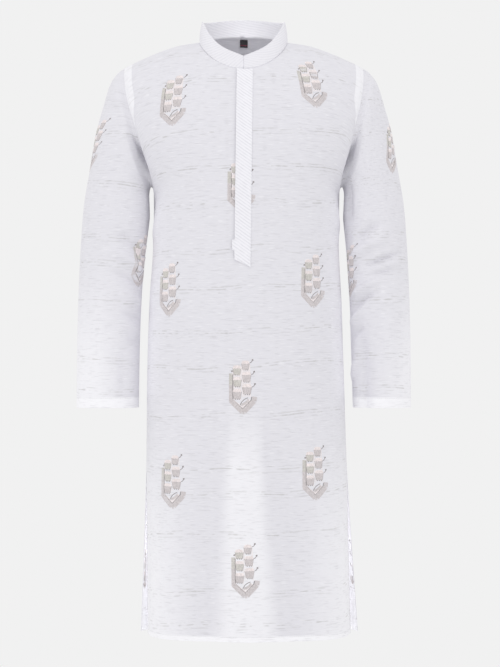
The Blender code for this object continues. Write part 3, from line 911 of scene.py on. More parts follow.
def edge_distances(cloth):
    """How far each point is from the panel's side edges and from its top edge."""
    side = np.minimum(cloth.across - cloth.across[:, :1], cloth.across[:, -1:] - cloth.across)
    return side, cloth.along[-1:] - cloth.along


def fold_panel(cloth, folds):
    """Folds a panel, holds it at its seams, and sinks the seams."""
    side, top = edge_distances(cloth)
    free = 1 - ease(cloth.along, SLIT_LENGTH - FREE_BELOW, SLIT_LENGTH)
    held = ease(side, 0, HELD_WITHIN) * ease(top, 0, HELD_WITHIN)
    heights = fold_heights(folds, cloth.across, cloth.along) * np.maximum(held, free)
    sewn = ease(cloth.along, SLIT_LENGTH, SLIT_LENGTH + SEWN_ABOVE)
    groove = bell(side, 0, GROOVE_WIDTH) * sewn + bell(top, 0, GROOVE_WIDTH)
    cloth.move(heights - GROOVE_DEPTH * np.minimum(groove, 1))
    return side, top


front, back = panel(FRONT_SIDE), panel(BACK_SIDE)
front_edges = fold_panel(front, FRONT_FOLDS)
back_edges = fold_panel(back, BACK_FOLDS)
front_piece = wall("front", front, THIN, body_cotton, front_edges)
back_piece = wall("back", back, THIN, body_cotton, back_edges)
for piece, node in ((front_piece, "front_body"), (back_piece, "back_body")):
    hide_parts(node)
print("front:", front.points.shape, "widest", round(float(np.ptp(front.across)), 3), "m")

# %% [markdown]
# ## Sleeves
# A sleeve is one tube. Its first ring is the armhole itself, taken from the edges of both panels,
# so the seam closes. Then it runs smoothly through the ovals of the chart to the cuff. Low on the
# armhole the body's edge stands over the sleeve, which falls back behind it: that is a trough
# right beside the seam. The bent elbow shows as slanting folds, and the inner side is crumpled.

# %% Sleeves
SLEEVE = table(
    "outer_x outer_z inner_x inner_z half_depth middle_y steps",
    (0.2400, -0.0730, 0.1735, -0.2640, 0.0600, 0.000, 22),
    (0.2550, -0.1180, 0.1775, -0.2760, 0.0580, 0.000, 13),
    (0.2680, -0.1660, 0.1770, -0.2980, 0.0570, 0.000, 14),
    (0.2790, -0.2300, 0.1765, -0.3220, 0.0560, 0.000, 18),
    (0.2900, -0.2950, 0.1800, -0.3550, 0.0550, -0.001, 20),
    (0.2955, -0.3650, 0.1840, -0.3950, 0.0530, -0.003, 20),
    (0.2995, -0.4500, 0.1888, -0.4600, 0.0510, -0.006, 26),
    (0.3020, -0.5500, 0.1920, -0.5520, 0.0480, -0.009, 32),
    (0.3030, -0.6640, 0.1945, -0.6640, 0.0460, -0.011, 36),
)
OUTER_LEAN = -0.002
CROWN_POWER = 1.4  # closes up the first rings beside the armhole
FOLD_STRENGTH = 2.0
# Round a sleeve, a place is a share of the way from the inner side by the front.
TROUGHS = ((0.18, 0.095, 1.0), (0.86, 0.08, 0.6))  # each one's place, width and share
TROUGH_DEPTH, TROUGH_STARTS, TROUGH_ENDS = 0.0100, 0.006, (0.008, 0.032)
CRESCENT_DEPTH, CRESCENT_STARTS = 0.0210, 0.004
CRESCENT_AROUND, CRESCENT_DOWN = (0.135, 0.060), (0.0055, 0.0045)  # its place and its width
SEAM_FREE = (0.01, 0.06)  # where folds begin, and are full, below the seam
SEAM_HELD = 0.3  # the share of a panel's groove that the sleeve sinks by
LEFT_SLEEVE_FOLDS = table(
    "u0 v0 u1 v1 width height bow",
    (0.034, 0.325, 0.040, 0.425, 0.0120, -0.0050, 0.002),
    (0.040, 0.297, 0.104, 0.334, 0.0070, -0.0046, 0.003),
    (0.010, 0.262, 0.120, 0.308, 0.0085, 0.0038, 0.005),
    (0.044, 0.248, 0.142, 0.281, 0.0048, -0.0042, 0.003),
    (0.060, 0.240, 0.140, 0.266, 0.0060, 0.0022, 0.003),
    (0.058, 0.234, 0.118, 0.251, 0.0045, -0.0024, 0.002),
    (0.012, 0.192, 0.088, 0.232, 0.0055, 0.0044, 0.003),
    (0.012, 0.171, 0.084, 0.213, 0.0060, -0.0046, 0.003),
    (0.004, 0.142, 0.056, 0.180, 0.0055, 0.0034, 0.003),
    (0.004, 0.120, 0.050, 0.146, 0.0055, -0.0030, 0.003),
    (0.006, 0.040, 0.024, 0.094, 0.0070, 0.0022, 0.002),
    (0.090, 0.020, 0.100, 0.230, 0.0140, 0.0022, 0.004),
    (0.036, -0.120, 0.040, 0.190, 0.0150, -0.0046, -0.002),
    (0.235, 0.250, 0.330, 0.215, 0.0090, -0.0040, 0.006),
    (0.225, 0.282, 0.325, 0.245, 0.0090, 0.0036, 0.005),
    (0.250, 0.190, 0.330, 0.168, 0.0080, -0.0030, 0.004),
    (0.250, 0.330, 0.330, 0.300, 0.0080, -0.0030, 0.004),
)
RIGHT_SLEEVE_FOLDS = table(
    "u0 v0 u1 v1 width height bow",
    (0.006, 0.262, 0.092, 0.318, 0.0085, -0.0034, 0.005),
    (0.002, 0.235, 0.110, 0.286, 0.0085, 0.0034, 0.006),
    (0.006, 0.208, 0.096, 0.246, 0.0075, -0.0032, 0.006),
    (0.000, 0.180, 0.080, 0.208, 0.0075, 0.0026, 0.004),
    (0.004, 0.150, 0.066, 0.172, 0.0070, -0.0026, 0.003),
    (0.004, 0.112, 0.050, 0.124, 0.0070, -0.0018, 0.002),
    (0.094, 0.020, 0.104, 0.240, 0.0150, 0.0020, 0.004),
    (0.044, 0.000, 0.050, 0.130, 0.0120, -0.0020, -0.003),
    (0.240, 0.245, 0.330, 0.212, 0.0095, -0.0036, 0.006),
    (0.230, 0.276, 0.325, 0.243, 0.0095, 0.0034, 0.005),
    (0.255, 0.186, 0.330, 0.166, 0.0085, -0.0028, 0.004),
)
print("folds in the sleeves:", len(LEFT_SLEEVE_FOLDS["u0"]), len(RIGHT_SLEEVE_FOLDS["u0"]))


# %% [markdown]
# ## Building the sleeves
# A sleeve is made ring by ring, from armhole to cuff. Every ring has as many points as the armhole,
# so that the path of each point is one smooth line down the sleeve.

# %% Building the sleeves
def armhole(fore, rear, left):
    """The armhole's ring of points and normals, from the underarm round."""
    start = len(fore.points) - CHEST_ROWS - 1
    columns = (-1, 0) if left else (0, -1)
    ring = []
    for name in ("points", "normals"):
        edge = getattr(fore, name)[start:, columns[0]]
        other = getattr(rear, name)[start:, columns[1]]
        up, down = (other, edge) if left else (edge, other)
        foot, top = (edge[0] + other[0]) / 2, (edge[-1] + other[-1]) / 2
        ring.append(np.vstack([foot, up[1:-1], top, down[-2:0:-1]]))
    return ring[0], unit(ring[1])


def sleeve_rings(left):
    """The sleeve's ovals, each starting at its inner point as the armhole does at its foot."""
    side = 1 if left else -1
    turn = np.arange(2 * CHEST_ROWS) * np.pi / CHEST_ROWS
    outer_x = side * SLEEVE["outer_x"] + OUTER_LEAN
    inner_x = side * SLEEVE["inner_x"] + lean(SLEEVE["inner_z"])
    outer = np.stack([outer_x, SLEEVE["middle_y"], SLEEVE["outer_z"]], -1)
    inner = np.stack([inner_x, SLEEVE["middle_y"], SLEEVE["inner_z"]], -1)
    middle = (outer + inner) / 2
    rings = middle[:, None] - (outer - middle)[:, None] * np.cos(turn)[None, :, None]
    rings[..., 1] += side * SLEEVE["half_depth"][:, None] * np.sin(turn)[None, :]
    return rings


def sleeve(left):
    """A sleeve as cloth, from armhole to cuff."""
    start, start_normals = armhole(front, back, left)
    tangents = unit(np.roll(start, -1, axis=0) - np.roll(start, 1, axis=0))
    onward = unit(np.cross(start_normals, tangents))
    stations = np.concatenate([start[None], sleeve_rings(left)])
    slopes = np.gradient(stations, axis=0)
    slopes[0] = onward * np.linalg.norm(stations[1] - stations[0], axis=-1, keepdims=True)
    rows = [start]
    for k, steps in enumerate(SLEEVE["steps"].astype(int)):
        shares = np.linspace(0, 1, steps + 1)[1:]
        for t in shares if k else shares**CROWN_POWER:
            begin = stations[k] * (1 + 2 * t) * (1 - t) ** 2 + slopes[k] * t * (1 - t) ** 2
            end = stations[k + 1] * t**2 * (3 - 2 * t) - slopes[k + 1] * t**2 * (1 - t)
            rows.append(begin + end)
    points = np.array(rows)
    closed = np.concatenate([points, points[:, :1]], axis=1)
    down = lengths(points, 0)
    return Cloth(points, lengths(closed, 1)[:, :-1], down[-1:] - down, ring=True)


def fold_sleeve(cloth, left, folds):
    """Folds a sleeve; its folds are measured from the inner side round by the front."""
    around = cloth.girth()
    by_front = around - cloth.across if left else cloth.across
    seam = cloth.along[:1] - cloth.along
    turn = by_front / around
    heights = sum(fold_heights(folds, by_front - lap, cloth.along) for lap in (0, around))
    heights *= FOLD_STRENGTH * ease(seam, *SEAM_FREE)
    low = sum(share * bell(turn, centre, width) for centre, width, share in TROUGHS)
    fall = ease(seam, 0, TROUGH_STARTS) * (1 - ease(seam, *TROUGH_ENDS))
    crescent = bell(turn, *CRESCENT_AROUND) * bell(seam, *CRESCENT_DOWN)
    crescent = crescent * ease(seam, 0, CRESCENT_STARTS)
    heights -= TROUGH_DEPTH * low * fall + CRESCENT_DEPTH * crescent
    heights -= GROOVE_DEPTH * bell(seam, 0, GROOVE_WIDTH) * SEAM_HELD
    cloth.move(heights)
    return seam, cloth.along


sleeves = {}
for name, left, folds in (("left", True, LEFT_SLEEVE_FOLDS), ("right", False, RIGHT_SLEEVE_FOLDS)):
    cloth = sleeve(left)
    edges = fold_sleeve(cloth, left, folds)
    piece = wall("sleeve_" + name + "_cloth", cloth, THIN, sleeve_cotton, edges)
    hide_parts("sleeve_" + name)
    sleeves[name] = (cloth, piece)
    print(piece.name, "round the cuff:", round(float(cloth.across[-1].max()), 3), "m")

# %% [markdown]
# ## The band collar
# The band stands on the neckline and leans a little in. Its ends meet at the centre front, where
# its top edge drops to a notch. Its flat pattern is a shallow arc, so stripes that are straight
# on the flat cloth turn slowly along the band.

# %% Collar
BAND_WALL = 0.0020
BAND_TOP_HALF_WIDTH = 0.0745
BAND_TOP_FRONT_Y, BAND_TOP_BACK_Y = -0.072, 0.060
BAND_TOP_FRONT_Z, BAND_TOP_SIDE_Z, BAND_TOP_BACK_Z = -0.036, 0.036, 0.0486
BAND_BOW = 0.0015
BAND_NOTCH = 0.42
BAND_ROWS = 12
BAND_GAP = 0.0005
BAND_ARC = np.radians(37.5)  # how far the flat pattern turns from its middle to each end
BAND_STRIPES = np.radians(12.5)
PLACKET_STRIPES = np.radians(-35)


def turned(across, along, angle):
    """Flat lengths turned so that stripes at that angle run along the first of them."""
    cos, sin = np.cos(angle), np.sin(angle)
    return across * cos + along * sin, along * cos - across * sin


def neck_seam(fore, rear):
    """The neckline's points and normals, from the centre front all the way round."""
    middle = fore.points.shape[1] // 2
    reach = NECK_COLUMNS - 1
    ahead, behind = slice(middle, middle + reach), slice(middle - reach, middle + reach + 1)
    other = slice(middle - reach + 1, middle + 1)
    grids = ((fore.points, rear.points), (fore.normals, rear.normals))
    return [np.vstack([a[-1, ahead], b[-1, behind], a[-1, other]]) for a, b in grids]


def band_collar():
    """The collar as cloth, from its seam up, and the straight lengths of its flat pattern."""
    seam, seam_normals = neck_seam(front, back)
    turn = np.linspace(0, 2 * np.pi, len(seam))
    sideways = np.abs(np.sin(turn))
    ahead = np.cos(turn) > 0
    side = np.where(ahead, BAND_NOTCH * sideways + (1 - BAND_NOTCH) * sideways**4, sideways**2)
    end_z = np.where(ahead, BAND_TOP_FRONT_Z, BAND_TOP_BACK_Z)
    end_y = np.where(ahead, -BAND_TOP_FRONT_Y, BAND_TOP_BACK_Y)
    top_z = end_z + (BAND_TOP_SIDE_Z - end_z) * side
    top_x = BAND_TOP_HALF_WIDTH * np.sin(turn) + lean(top_z)
    top = np.stack([top_x, -end_y * np.cos(turn), top_z], -1)
    tangent = unit(np.gradient(seam, axis=0))
    up = top - seam
    up = unit(up - tangent * np.sum(up * tangent, -1, keepdims=True))
    facing = np.abs(np.sum(seam_normals * up, -1, keepdims=True))
    foot = seam + up * (GROOVE_DEPTH + THIN / 2 * facing)
    outward = np.stack([np.sin(turn), -np.cos(turn), np.zeros_like(turn)], -1) * BAND_BOW
    shares = np.linspace(0, 1, BAND_ROWS + 1)
    points = np.array([foot + (top - foot) * v + outward * np.sin(np.pi * v) for v in shares])
    points[:, 0, 0] = lean(points[:, 0, 2]) + BAND_GAP
    points[:, -1, 0] = lean(points[:, -1, 2]) - BAND_GAP
    across = lengths(points, 1)
    return Cloth(points, across - across[:, -1:] / 2, lengths(points, 0))


def arc_pattern(cloth):
    """The straight flat lengths of a band that is cut as an arc."""
    half = cloth.across[0, -1]
    radius = half / BAND_ARC
    angle = cloth.across / cloth.across[:, -1:] * BAND_ARC
    return (radius + cloth.along) * np.sin(angle), (radius + cloth.along) * np.cos(angle)


collar = band_collar()
band_length = 2 * float(collar.across[0, -1])
band_flat = turned(*arc_pattern(collar), BAND_STRIPES)
collar_piece = wall("collar_band", collar, BAND_WALL, collar_stripes, flat=band_flat)
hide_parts("collar")
band_height = float(collar.along[-1].mean())
print("band:", round(band_length, 3), "m long,", round(band_height, 3), "m high")

# %% [markdown]
# ## The placket
# The placket is a narrow strip of the striped cotton over the front opening. Its left edge is the
# fold that lifts, so it stands a little higher than the right one. It ends in a slant, with a
# small tab where the strip below is caught. A strip is laid on the cloth by reading the front's
# own chart.

# %% Placket
PLACKET = table(
    "z left right",
    (-0.4000, -0.0180, 0.0100),
    (-0.3850, -0.0180, 0.0102),
    (-0.3830, -0.0222, 0.0102),
    (-0.3660, -0.0220, 0.0104),
    (-0.3640, -0.0176, 0.0104),
    (-0.0600, -0.0140, 0.0140),
)
PLACKET_SLANT = 0.0135
PLACKET_WALL = 0.0010
PLACKET_LIFT, PLACKET_RAISED, PLACKET_BOW = 0.0011, 0.0019, 0.0003
RAISED_SHARE = 0.45
PLACKET_COLUMNS = 13
PLACKET_STEP = 0.004


def centre_lengths(z):
    """How far along the front's middle a height is."""
    middle = front.points.shape[1] // 2
    return np.interp(z, front.points[:, middle, 2], front.along[:, middle])


def placket_cloth():
    """The placket laid on the front, with its fold side raised."""
    low = PLACKET["z"][0]
    high = front.points[-1, front.points.shape[1] // 2, 2] - GROOVE_DEPTH
    z = np.unique(np.concatenate([np.arange(low, high, PLACKET_STEP), PLACKET["z"][:-1], [high]]))
    left, right = (np.interp(z, PLACKET["z"], PLACKET[name]) for name in ("left", "right"))
    share = np.linspace(0, 1, PLACKET_COLUMNS)
    x = left[:, None] + (right - left)[:, None] * share
    drop = np.clip(PLACKET_SLANT - (z - low), 0, None)
    level = z[:, None] - drop[:, None] * share
    across, along = x - lean(level), centre_lengths(level)
    lift = PLACKET_LIFT + PLACKET_RAISED * (1 - ease(share, 0, RAISED_SHARE))
    lift = lift + PLACKET_BOW * np.sin(np.pi * share)
    points = front.at(across, along, np.broadcast_to(lift, across.shape))
    return Cloth(points, across, along)


placket = placket_cloth()
placket_flat = turned(placket.across, placket.along, PLACKET_STRIPES)
placket_piece = wall("placket_strip", placket, PLACKET_WALL, placket_stripes, flat=placket_flat)
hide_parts("placket")
print("placket:", round(float(np.ptp(placket.along)), 3), "m long")

# %% [markdown]
# ## Turned edges and seam allowances
# Inside a shirt one sees the cloth folded back at each raw edge: the hem, the slits and the
# cuffs, and the flaps beside each seam. They are strips of the same cloth laid on the inside of
# the pieces, which also makes those edges as thick as they should be.

# %% Turned edges
UNDER = -0.0009  # how deep a turned layer lies under the cloth's middle
ALLOWANCE, ARMHOLE_ALLOWANCE = 0.010, ARMHOLE_BAND * 0.75
INSET, SIDE_INSET = 0.0004, 0.0002  # how far a turned layer keeps from the edge it is turned at
CUFF_OVERLAP = 1.008
STRIP_STEP, STRIP_ROWS = 0.006, 4


def strip(name, cloth, starts, ends, material):
    """A strip of cloth between two lines given as flat lengths, laid inside a piece."""
    shares = np.linspace(0, 1, STRIP_ROWS)[:, None]
    across, along = (start + (end - start) * shares for start, end in zip(starts, ends))
    turned_in = Cloth(cloth.at(across, along, np.full(across.shape, UNDER)), across, along)
    piece = wall(name, turned_in, THIN, material, (np.zeros(across.shape), along))
    return piece


def turn_up(name, cloth, across, height, material):
    """The turned layer inside a hem or cuff."""
    levels = [(across, 0 * across + level) for level in (INSET, height)]
    return strip(name, cloth, *levels, material)


def line(start, end):
    """Even steps from one flat length to another."""
    return np.linspace(start, end, int(abs(end - start) / STRIP_STEP) + 2)


turned_edges = {"front": [], "back": [], "left": [], "right": []}
slit_rows = slice(0, int(np.searchsorted(front.points[:, 0, 2], SLIT_Z)) + 1, 2)
seam_rows = slice(slit_rows.stop - 1, len(front.points) - CHEST_ROWS, 2)
armhole_rows = slice(len(front.points) - CHEST_ROWS - 1, len(front.points), 2)
for name, cloth in (("front", front), ("back", back)):
    hem = line(cloth.across[0, 0] + SLIT_TURN + INSET, cloth.across[0, -1] - SLIT_TURN - INSET)
    parts = turned_edges[name]
    parts.append(turn_up(name + "_hem_turn", cloth, hem, HEM_TURN, body_cotton))
    for word, column, sign in (("left", 0, 1), ("right", -1, -1)):
        for kind, rows, width in (
            ("slit_turn", slit_rows, SLIT_TURN),
            ("side_allowance", seam_rows, ALLOWANCE),
            ("armhole_allowance", armhole_rows, ARMHOLE_ALLOWANCE),
        ):
            across, along = cloth.across[rows, column], cloth.along[rows, column]
            edges = [(across + sign * inward, along) for inward in (SIDE_INSET, width)]
            parts.append(strip(f"{name}_{kind}_{word}", cloth, *edges, body_cotton))
for name, (cloth, _) in sleeves.items():
    cuff = line(0.0, cloth.across[-1].max() * CUFF_OVERLAP)
    turned_edges[name].append(turn_up("cuff_turn_" + name, cloth, cuff, CUFF_TURN, sleeve_cotton))
print("turned edges:", sum(len(parts) for parts in turned_edges.values()))

# %% [markdown]
# ## Stitches
# A seam's stitches are short, fat dashes of thread, which sink at both ends. Each is one small
# closed ridge here. A painted line would look flat in a close view, and a few thousand ridges are
# still few faces. One function lays them along any line of flat lengths, and another makes one
# object of them.

# %% Stitches
STITCH_LENGTH, STITCH_GAP = 0.0024, 0.0010
STITCH_WIDTH, STITCH_HEIGHT = 0.00055, 0.00030
RIDGE_INSET = 0.30  # how far a ridge's top is drawn in at its ends, in widths
RIDGE_FACES = ((0, 1, 2), (5, 4, 3), (0, 3, 4, 1), (1, 4, 5, 2), (2, 5, 3, 0))


def ridges(cloth, starts, ends, width, height, base):
    """Small closed ridges on a cloth, each from a start to an end in flat lengths."""
    starts, ends = np.asarray(starts, float), np.asarray(ends, float)
    run = unit(ends - starts)
    aside = np.stack([-run[:, 1], run[:, 0]], -1) * (width / 2)
    length = np.linalg.norm(ends - starts, axis=-1, keepdims=True)
    inset = run * np.minimum(width, length) * RIDGE_INSET
    first = [starts + aside, starts + inset, starts - aside]
    flat = np.stack(first + [ends + aside, ends - inset, ends - aside], 1)
    lift = np.zeros(flat.shape[:2]) + np.atleast_1d(base)[:, None]
    lift[:, (1, 4)] += height
    vertices = cloth.at(flat[..., 0], flat[..., 1], lift)
    return vertices.reshape(-1, 3), len(starts)


def ridge_mesh(name, groups, materials):
    """One object from groups of ridges, each group with the number of its material."""
    vertices, faces, wears = [], [], []
    for (points, count), number in groups:
        first = sum(len(v) for v in vertices)
        vertices.append(points)
        for k in range(count):
            faces += [[first + 6 * k + c for c in face] for face in RIDGE_FACES]
        wears += [number] * count * len(RIDGE_FACES)
    piece = finish_mesh(name, np.concatenate(vertices), faces, materials)
    piece.data.polygons.foreach_set("material_index", wears)
    return piece


def sew(name, lines, material):
    """One object from lines of stitches in one thread."""
    return ridge_mesh(name, [(stitches, 0) for stitches in lines], [material])


def path_lengths(places):
    """The length from a path's start to each of its points."""
    return np.concatenate([[0], np.cumsum(np.linalg.norm(np.diff(places, axis=0), axis=-1))])


def along_path(places, run, at):
    """The points at some lengths along a path."""
    return np.stack([np.interp(at, run, places[:, k]) for k in (0, 1)], -1)


def stitch_line(cloth, across, along, base, length=STITCH_LENGTH, gap=STITCH_GAP):
    """Even stitches along a line of flat lengths."""
    places = np.stack([across, along], -1)
    run = path_lengths(places)
    count = int(run[-1] / (length + gap))
    start = (run[-1] - count * (length + gap) + gap) / 2 + np.arange(count) * (length + gap)
    both = [along_path(places, run, at) for at in (start, start + length)]
    return ridges(cloth, *both, STITCH_WIDTH, STITCH_HEIGHT, base)


print("one stitch:", len(RIDGE_FACES), "faces")

# %% [markdown]
# ## Sewing
# Hems, slits and cuffs are sewn near the inner end of their turned layer. Each slit has a short
# bar of close stitches at its head, where it would tear first. The placket and the band are sewn
# near their edges, and the band's top stitches show inside too.

# %% Sewing
HEM_STITCHES, CUFF_STITCHES = HEM_TURN - 0.0012, CUFF_TURN - 0.0015
SLIT_STITCHES, SLIT_STITCH_RISE = SLIT_TURN - 0.0014, 0.0008
BAR_REACH, BAR_RISES = (0.0006, SLIT_TURN - 0.0016), (0.0, 0.0009, 0.0018)
BAR_STITCH = (0.0016, 0.0003)  # each pair is a stitch's length and the gap after it
PLACKET_INSET, PLACKET_BARS = 0.0016, (0.0017, 0.0190, 0.0210)
BAND_INSET, BAND_FOOT, BAND_STITCH = 0.0016, 0.0015, (0.0021, 0.0011)
UNDER_STITCH = 0.6  # how deep the band's inner stitches start, in stitch heights


def panel_stitches(cloth):
    """The stitches of a panel's hem and slits."""
    top = THIN / 2
    hem = line(cloth.across[0, 0] + SLIT_TURN * 0.8, cloth.across[0, -1] - SLIT_TURN * 0.8)
    lines = [stitch_line(cloth, hem, 0 * hem + HEM_STITCHES, top)]
    for column, sign in ((0, 1), (-1, -1)):
        across, along = cloth.across[slit_rows, column], cloth.along[slit_rows, column]
        slit = across + sign * SLIT_STITCHES
        lines.append(stitch_line(cloth, slit, along + SLIT_STITCH_RISE, top))
        head = cloth.across[slit_rows.stop - 1, column], cloth.along[slit_rows.stop - 1, column]
        bar = np.array(BAR_REACH)
        for rise in BAR_RISES:
            level = 0 * bar + head[1] + rise
            lines.append(stitch_line(cloth, head[0] + sign * bar, level, top, *BAR_STITCH))
    return lines


front_stitches = sew("front_stitches", panel_stitches(front), seam_thread)
back_stitches = sew("back_stitches", panel_stitches(back), seam_thread)
cuff_stitches = {}
for name, (cloth, _) in sleeves.items():
    cuff = line(0.0, cloth.across[-1].max())
    lines = [stitch_line(cloth, cuff, 0 * cuff + CUFF_STITCHES, THIN / 2)]
    cuff_stitches[name] = sew("cuff_stitches_" + name, lines, seam_thread)


def placket_stitches():
    """Stitches down both sides of the placket and along its slanted end, and two bars above."""
    top, across, along = PLACKET_WALL / 2, placket.across, placket.along
    lines = []
    for column, sign in ((0, 1), (-1, -1)):
        edge = across[:, column] + sign * PLACKET_INSET
        lines.append(stitch_line(placket, edge, along[:, column] + PLACKET_INSET, top))
    for rise in PLACKET_BARS:
        lines.append(stitch_line(placket, across[0, [1, -2]], along[0, [1, -2]] + rise, top))
    return lines


placket_thread = sew("placket_stitches", placket_stitches(), thread)


def collar_stitches():
    """Edge stitches along the band's top and foot, and down beside both ends."""
    top = BAND_WALL / 2
    foot, rim = collar.across[0, 2:-2], collar.across[-1, 2:-2]
    high, ends = collar.along[-1, 2:-2] - BAND_INSET, collar.along[1:-1, 0]
    bases = (top, -top - STITCH_HEIGHT * UNDER_STITCH)
    lines = [stitch_line(collar, rim, high, base, *BAND_STITCH) for base in bases]
    lines.append(stitch_line(collar, foot, 0 * foot + BAND_FOOT, top))
    for side in (-1, 1):
        edge = side * (collar.across[0, -1] - BAND_INSET)
        lines.append(stitch_line(collar, 0 * ends + edge, ends, top))
    return lines


collar_thread = sew("collar_stitches", collar_stitches(), thread)
rows = (front_stitches, back_stitches, *cuff_stitches.values(), placket_thread, collar_thread)
print("stitches:", sum(len(row.data.polygons) for row in rows) // len(RIDGE_FACES))

# %% [markdown]
# ## The embroidered figure
# Each figure is about 50 by 100 mm: a bar down its left side, a thick chevron below with a small
# leaf in it, and two columns of florets. A floret is a block of threads with a pale scalloped
# cap, dark sides and three dots below, and each right one has a curling tendril with a knot. A
# pale ground lies under them all. The work is satin stitch, where threads lie side by side across
# each shape. A picture on the cloth would have no thickness, so every thread is its own small
# ridge, laid through the cloth's chart. The figure's own measures are in millimetres.

# %% The figure's threads
MM = 0.001
FLOSS_WIDTH = 0.00125
GROUND_HEIGHT, CAP_THREAD, FLORET_HEIGHT = 0.00028, 0.00052 * 0.9, 0.00052
FLOSS_PITCH = 1.0
CAP_HEIGHT, SCALLOP = 4.2, 1.4
FOOT_WIDTH, RIM_WIDTH, CAP_WIDTH = 0.60, 0.88, 0.80  # shares of a floret's width
DOTS = (-0.19, 0.02, 0.21)
ARC_STEPS = 8


def satin(path, width, colour, slant=0.0, height=FLORET_HEIGHT):
    """Threads laid across a path, in millimetres."""
    path = np.array(path, float)
    run = path_lengths(path)
    at = np.arange(FLOSS_PITCH / 2, run[-1], FLOSS_PITCH)
    middle, ahead, behind = (along_path(path, run, at + step) for step in (0, 0.5, -0.5))
    way = unit(ahead - behind)
    aside = np.stack([-way[:, 1], way[:, 0]], -1) + way * slant
    return middle - aside * width / 2, middle + aside * width / 2, colour, height


def floret(x, y, width, height, colour):
    """A floret: threads that spread from its foot, its cap, its sides and its dots."""
    spread = np.linspace(-0.5, 0.5, int(width * 1.15))
    level = np.ones(spread.shape)
    scallop = SCALLOP * np.abs(np.cos(spread * 3 * np.pi))
    low, brim, high = y - height / 2, y + height / 2 - CAP_HEIGHT, y + height / 2
    foot = np.stack([x + width * FOOT_WIDTH * spread, low * level], -1)
    rim = np.stack([x + width * RIM_WIDTH * spread, brim + scallop * 0.7], -1)
    crown = high + 1.2 - 5.0 * spread**2 + scallop
    cap = np.stack([x + width * CAP_WIDTH * spread, crown], -1)
    parts = [
        (foot, rim, colour, FLORET_HEIGHT),
        (rim, cap, "blush", CAP_THREAD),
        satin([(x - width * 0.46, brim + 1.0), (x - width * 0.32, low)], 1.2, "dark"),
        satin([(x + width * 0.32, low), (x + width * 0.46, brim + 1.0)], 1.0, "dark"),
    ]
    for share in DOTS:
        spot = x + width * share
        parts.append(satin([(spot, low - 1.3), (spot + 0.3, low + 0.5)], 1.9, "dark"))
    return parts


def arc(start, end, bow):
    """A curved path between two points, bowed aside."""
    start, end = np.array(start, float), np.array(end, float)
    t = np.linspace(0, 1, ARC_STEPS)[:, None]
    across = np.array([-(end - start)[1], (end - start)[0]]) / np.linalg.norm(end - start)
    return start + (end - start) * t + across * bow * 4 * t * (1 - t)


FLORETS = (
    ("left", -10.0, 29.0, 16.0, 14.5, "olive"),
    ("left", -9.8, 8.4, 16.5, 15.0, "olive"),
    ("left", -10.2, -13.0, 17.0, 15.5, "taupe"),
    ("right", 5.0, 37.6, 15.0, 14.0, "taupe"),
    ("right", 6.8, 17.0, 17.0, 15.5, "taupe"),
    ("right", 7.4, -4.6, 18.0, 16.0, "taupe"),
)


def figure():
    """All the threads of one figure, around its middle."""
    parts = [
        satin([(-10.4, -23), (-10.0, 33)], 15.5, "blush", height=GROUND_HEIGHT),
        satin([(6.4, -17), (5.4, 40)], 16.0, "blush", height=GROUND_HEIGHT),
        satin([(-16, -26), (-1.5, -37), (12.5, -23)], 5.5, "blush", height=GROUND_HEIGHT),
        satin([(-21.4, -26.5), (-21.2, 3)], 6.4, "taupe"),
        satin([(-21.2, 3), (-20.8, 23.5)], 6.4, "olive"),
        satin([(-17.6, -22), (-17.4, 22)], 1.5, "dark"),
        satin([(-20.8, -24.0), (-1.0, -43.4)], 9.6, "taupe"),
        satin([(-1.0, -43.8), (1.8, -43.8), (19.8, -25.0), (21.0, -17.0)], 8.4, "taupe"),
        satin([(-15.5, -24.5), (-0.5, -38.4), (14.5, -23.0), (15.6, -17.5)], 1.8, "dark"),
        satin(arc((-3, -31), (10, -22.5), -1.4), 4.6, "taupe", 0.4),
        satin(arc((-5, -32), (8.5, -19), 2.4), 1.4, "dark"),
        satin([(-19.5, 26.5), (-18.0, 29.5)], 2.6, "dark"),
    ]
    for column, x, y, width, height, colour in FLORETS:
        parts += floret(x, y, width, height, colour)
        if column == "right":
            tip = x + width / 2
            parts.append(satin(arc((tip, y + 5.0), (tip + 4.5, y + 9.5), -1.0), 1.4, "dark"))
            parts.append(satin([(tip + 3.6, y + 9.4), (tip + 6.4, y + 10.6)], 2.8, "dark"))
    return parts


figure_parts = figure()
print("threads in a figure:", sum(len(part[0]) for part in figure_parts))

# %% [markdown]
# The figures stand in columns, each column half a repeat lower than the next, as cloth for
# cutting is usually embroidered. On the front they are where the panel was cut; the back repeats
# the same columns. The scissors cut through some figures. Such a figure ends at the edge, and its
# floss also shows on the inside of the cloth, since embroidery goes through.

# %% Placing the figures
REPEAT = 0.351
FIGURE_HALF = 0.055  # a figure's middle keeps this far from the top of the back
SUNK = 0.0001  # how deep the foot of a thread lies in the cloth
CUT_WITHIN = 0.020  # a figure nearer to an edge than this shows on the inside too
FRONT_FIGURES = table(
    "x z",
    (-0.1245, -0.1135),
    (0.1212, -0.0865),
    (-0.0084, -0.2690),
    (-0.1339, -0.4508),
    (0.1212, -0.4383),
    (-0.0042, -0.6266),
    (-0.1276, -0.7934),
    (0.1261, -0.7788),
    (0.0003, -0.9503),
)
BACK_COLUMNS = table(
    "across first",
    (-0.254, 0.118),
    (-0.133, 0.284),
    (0.0, 0.110),
    (0.133, 0.286),
    (0.254, 0.112),
)
SLEEVE_FIGURES = {
    "left": table("by_front along", (0.042, 0.247), (0.415, 0.471), (0.730, 0.420)),
    "right": table("by_front along", (0.060, 0.266), (0.458, 0.475), (0.730, 0.430)),
}


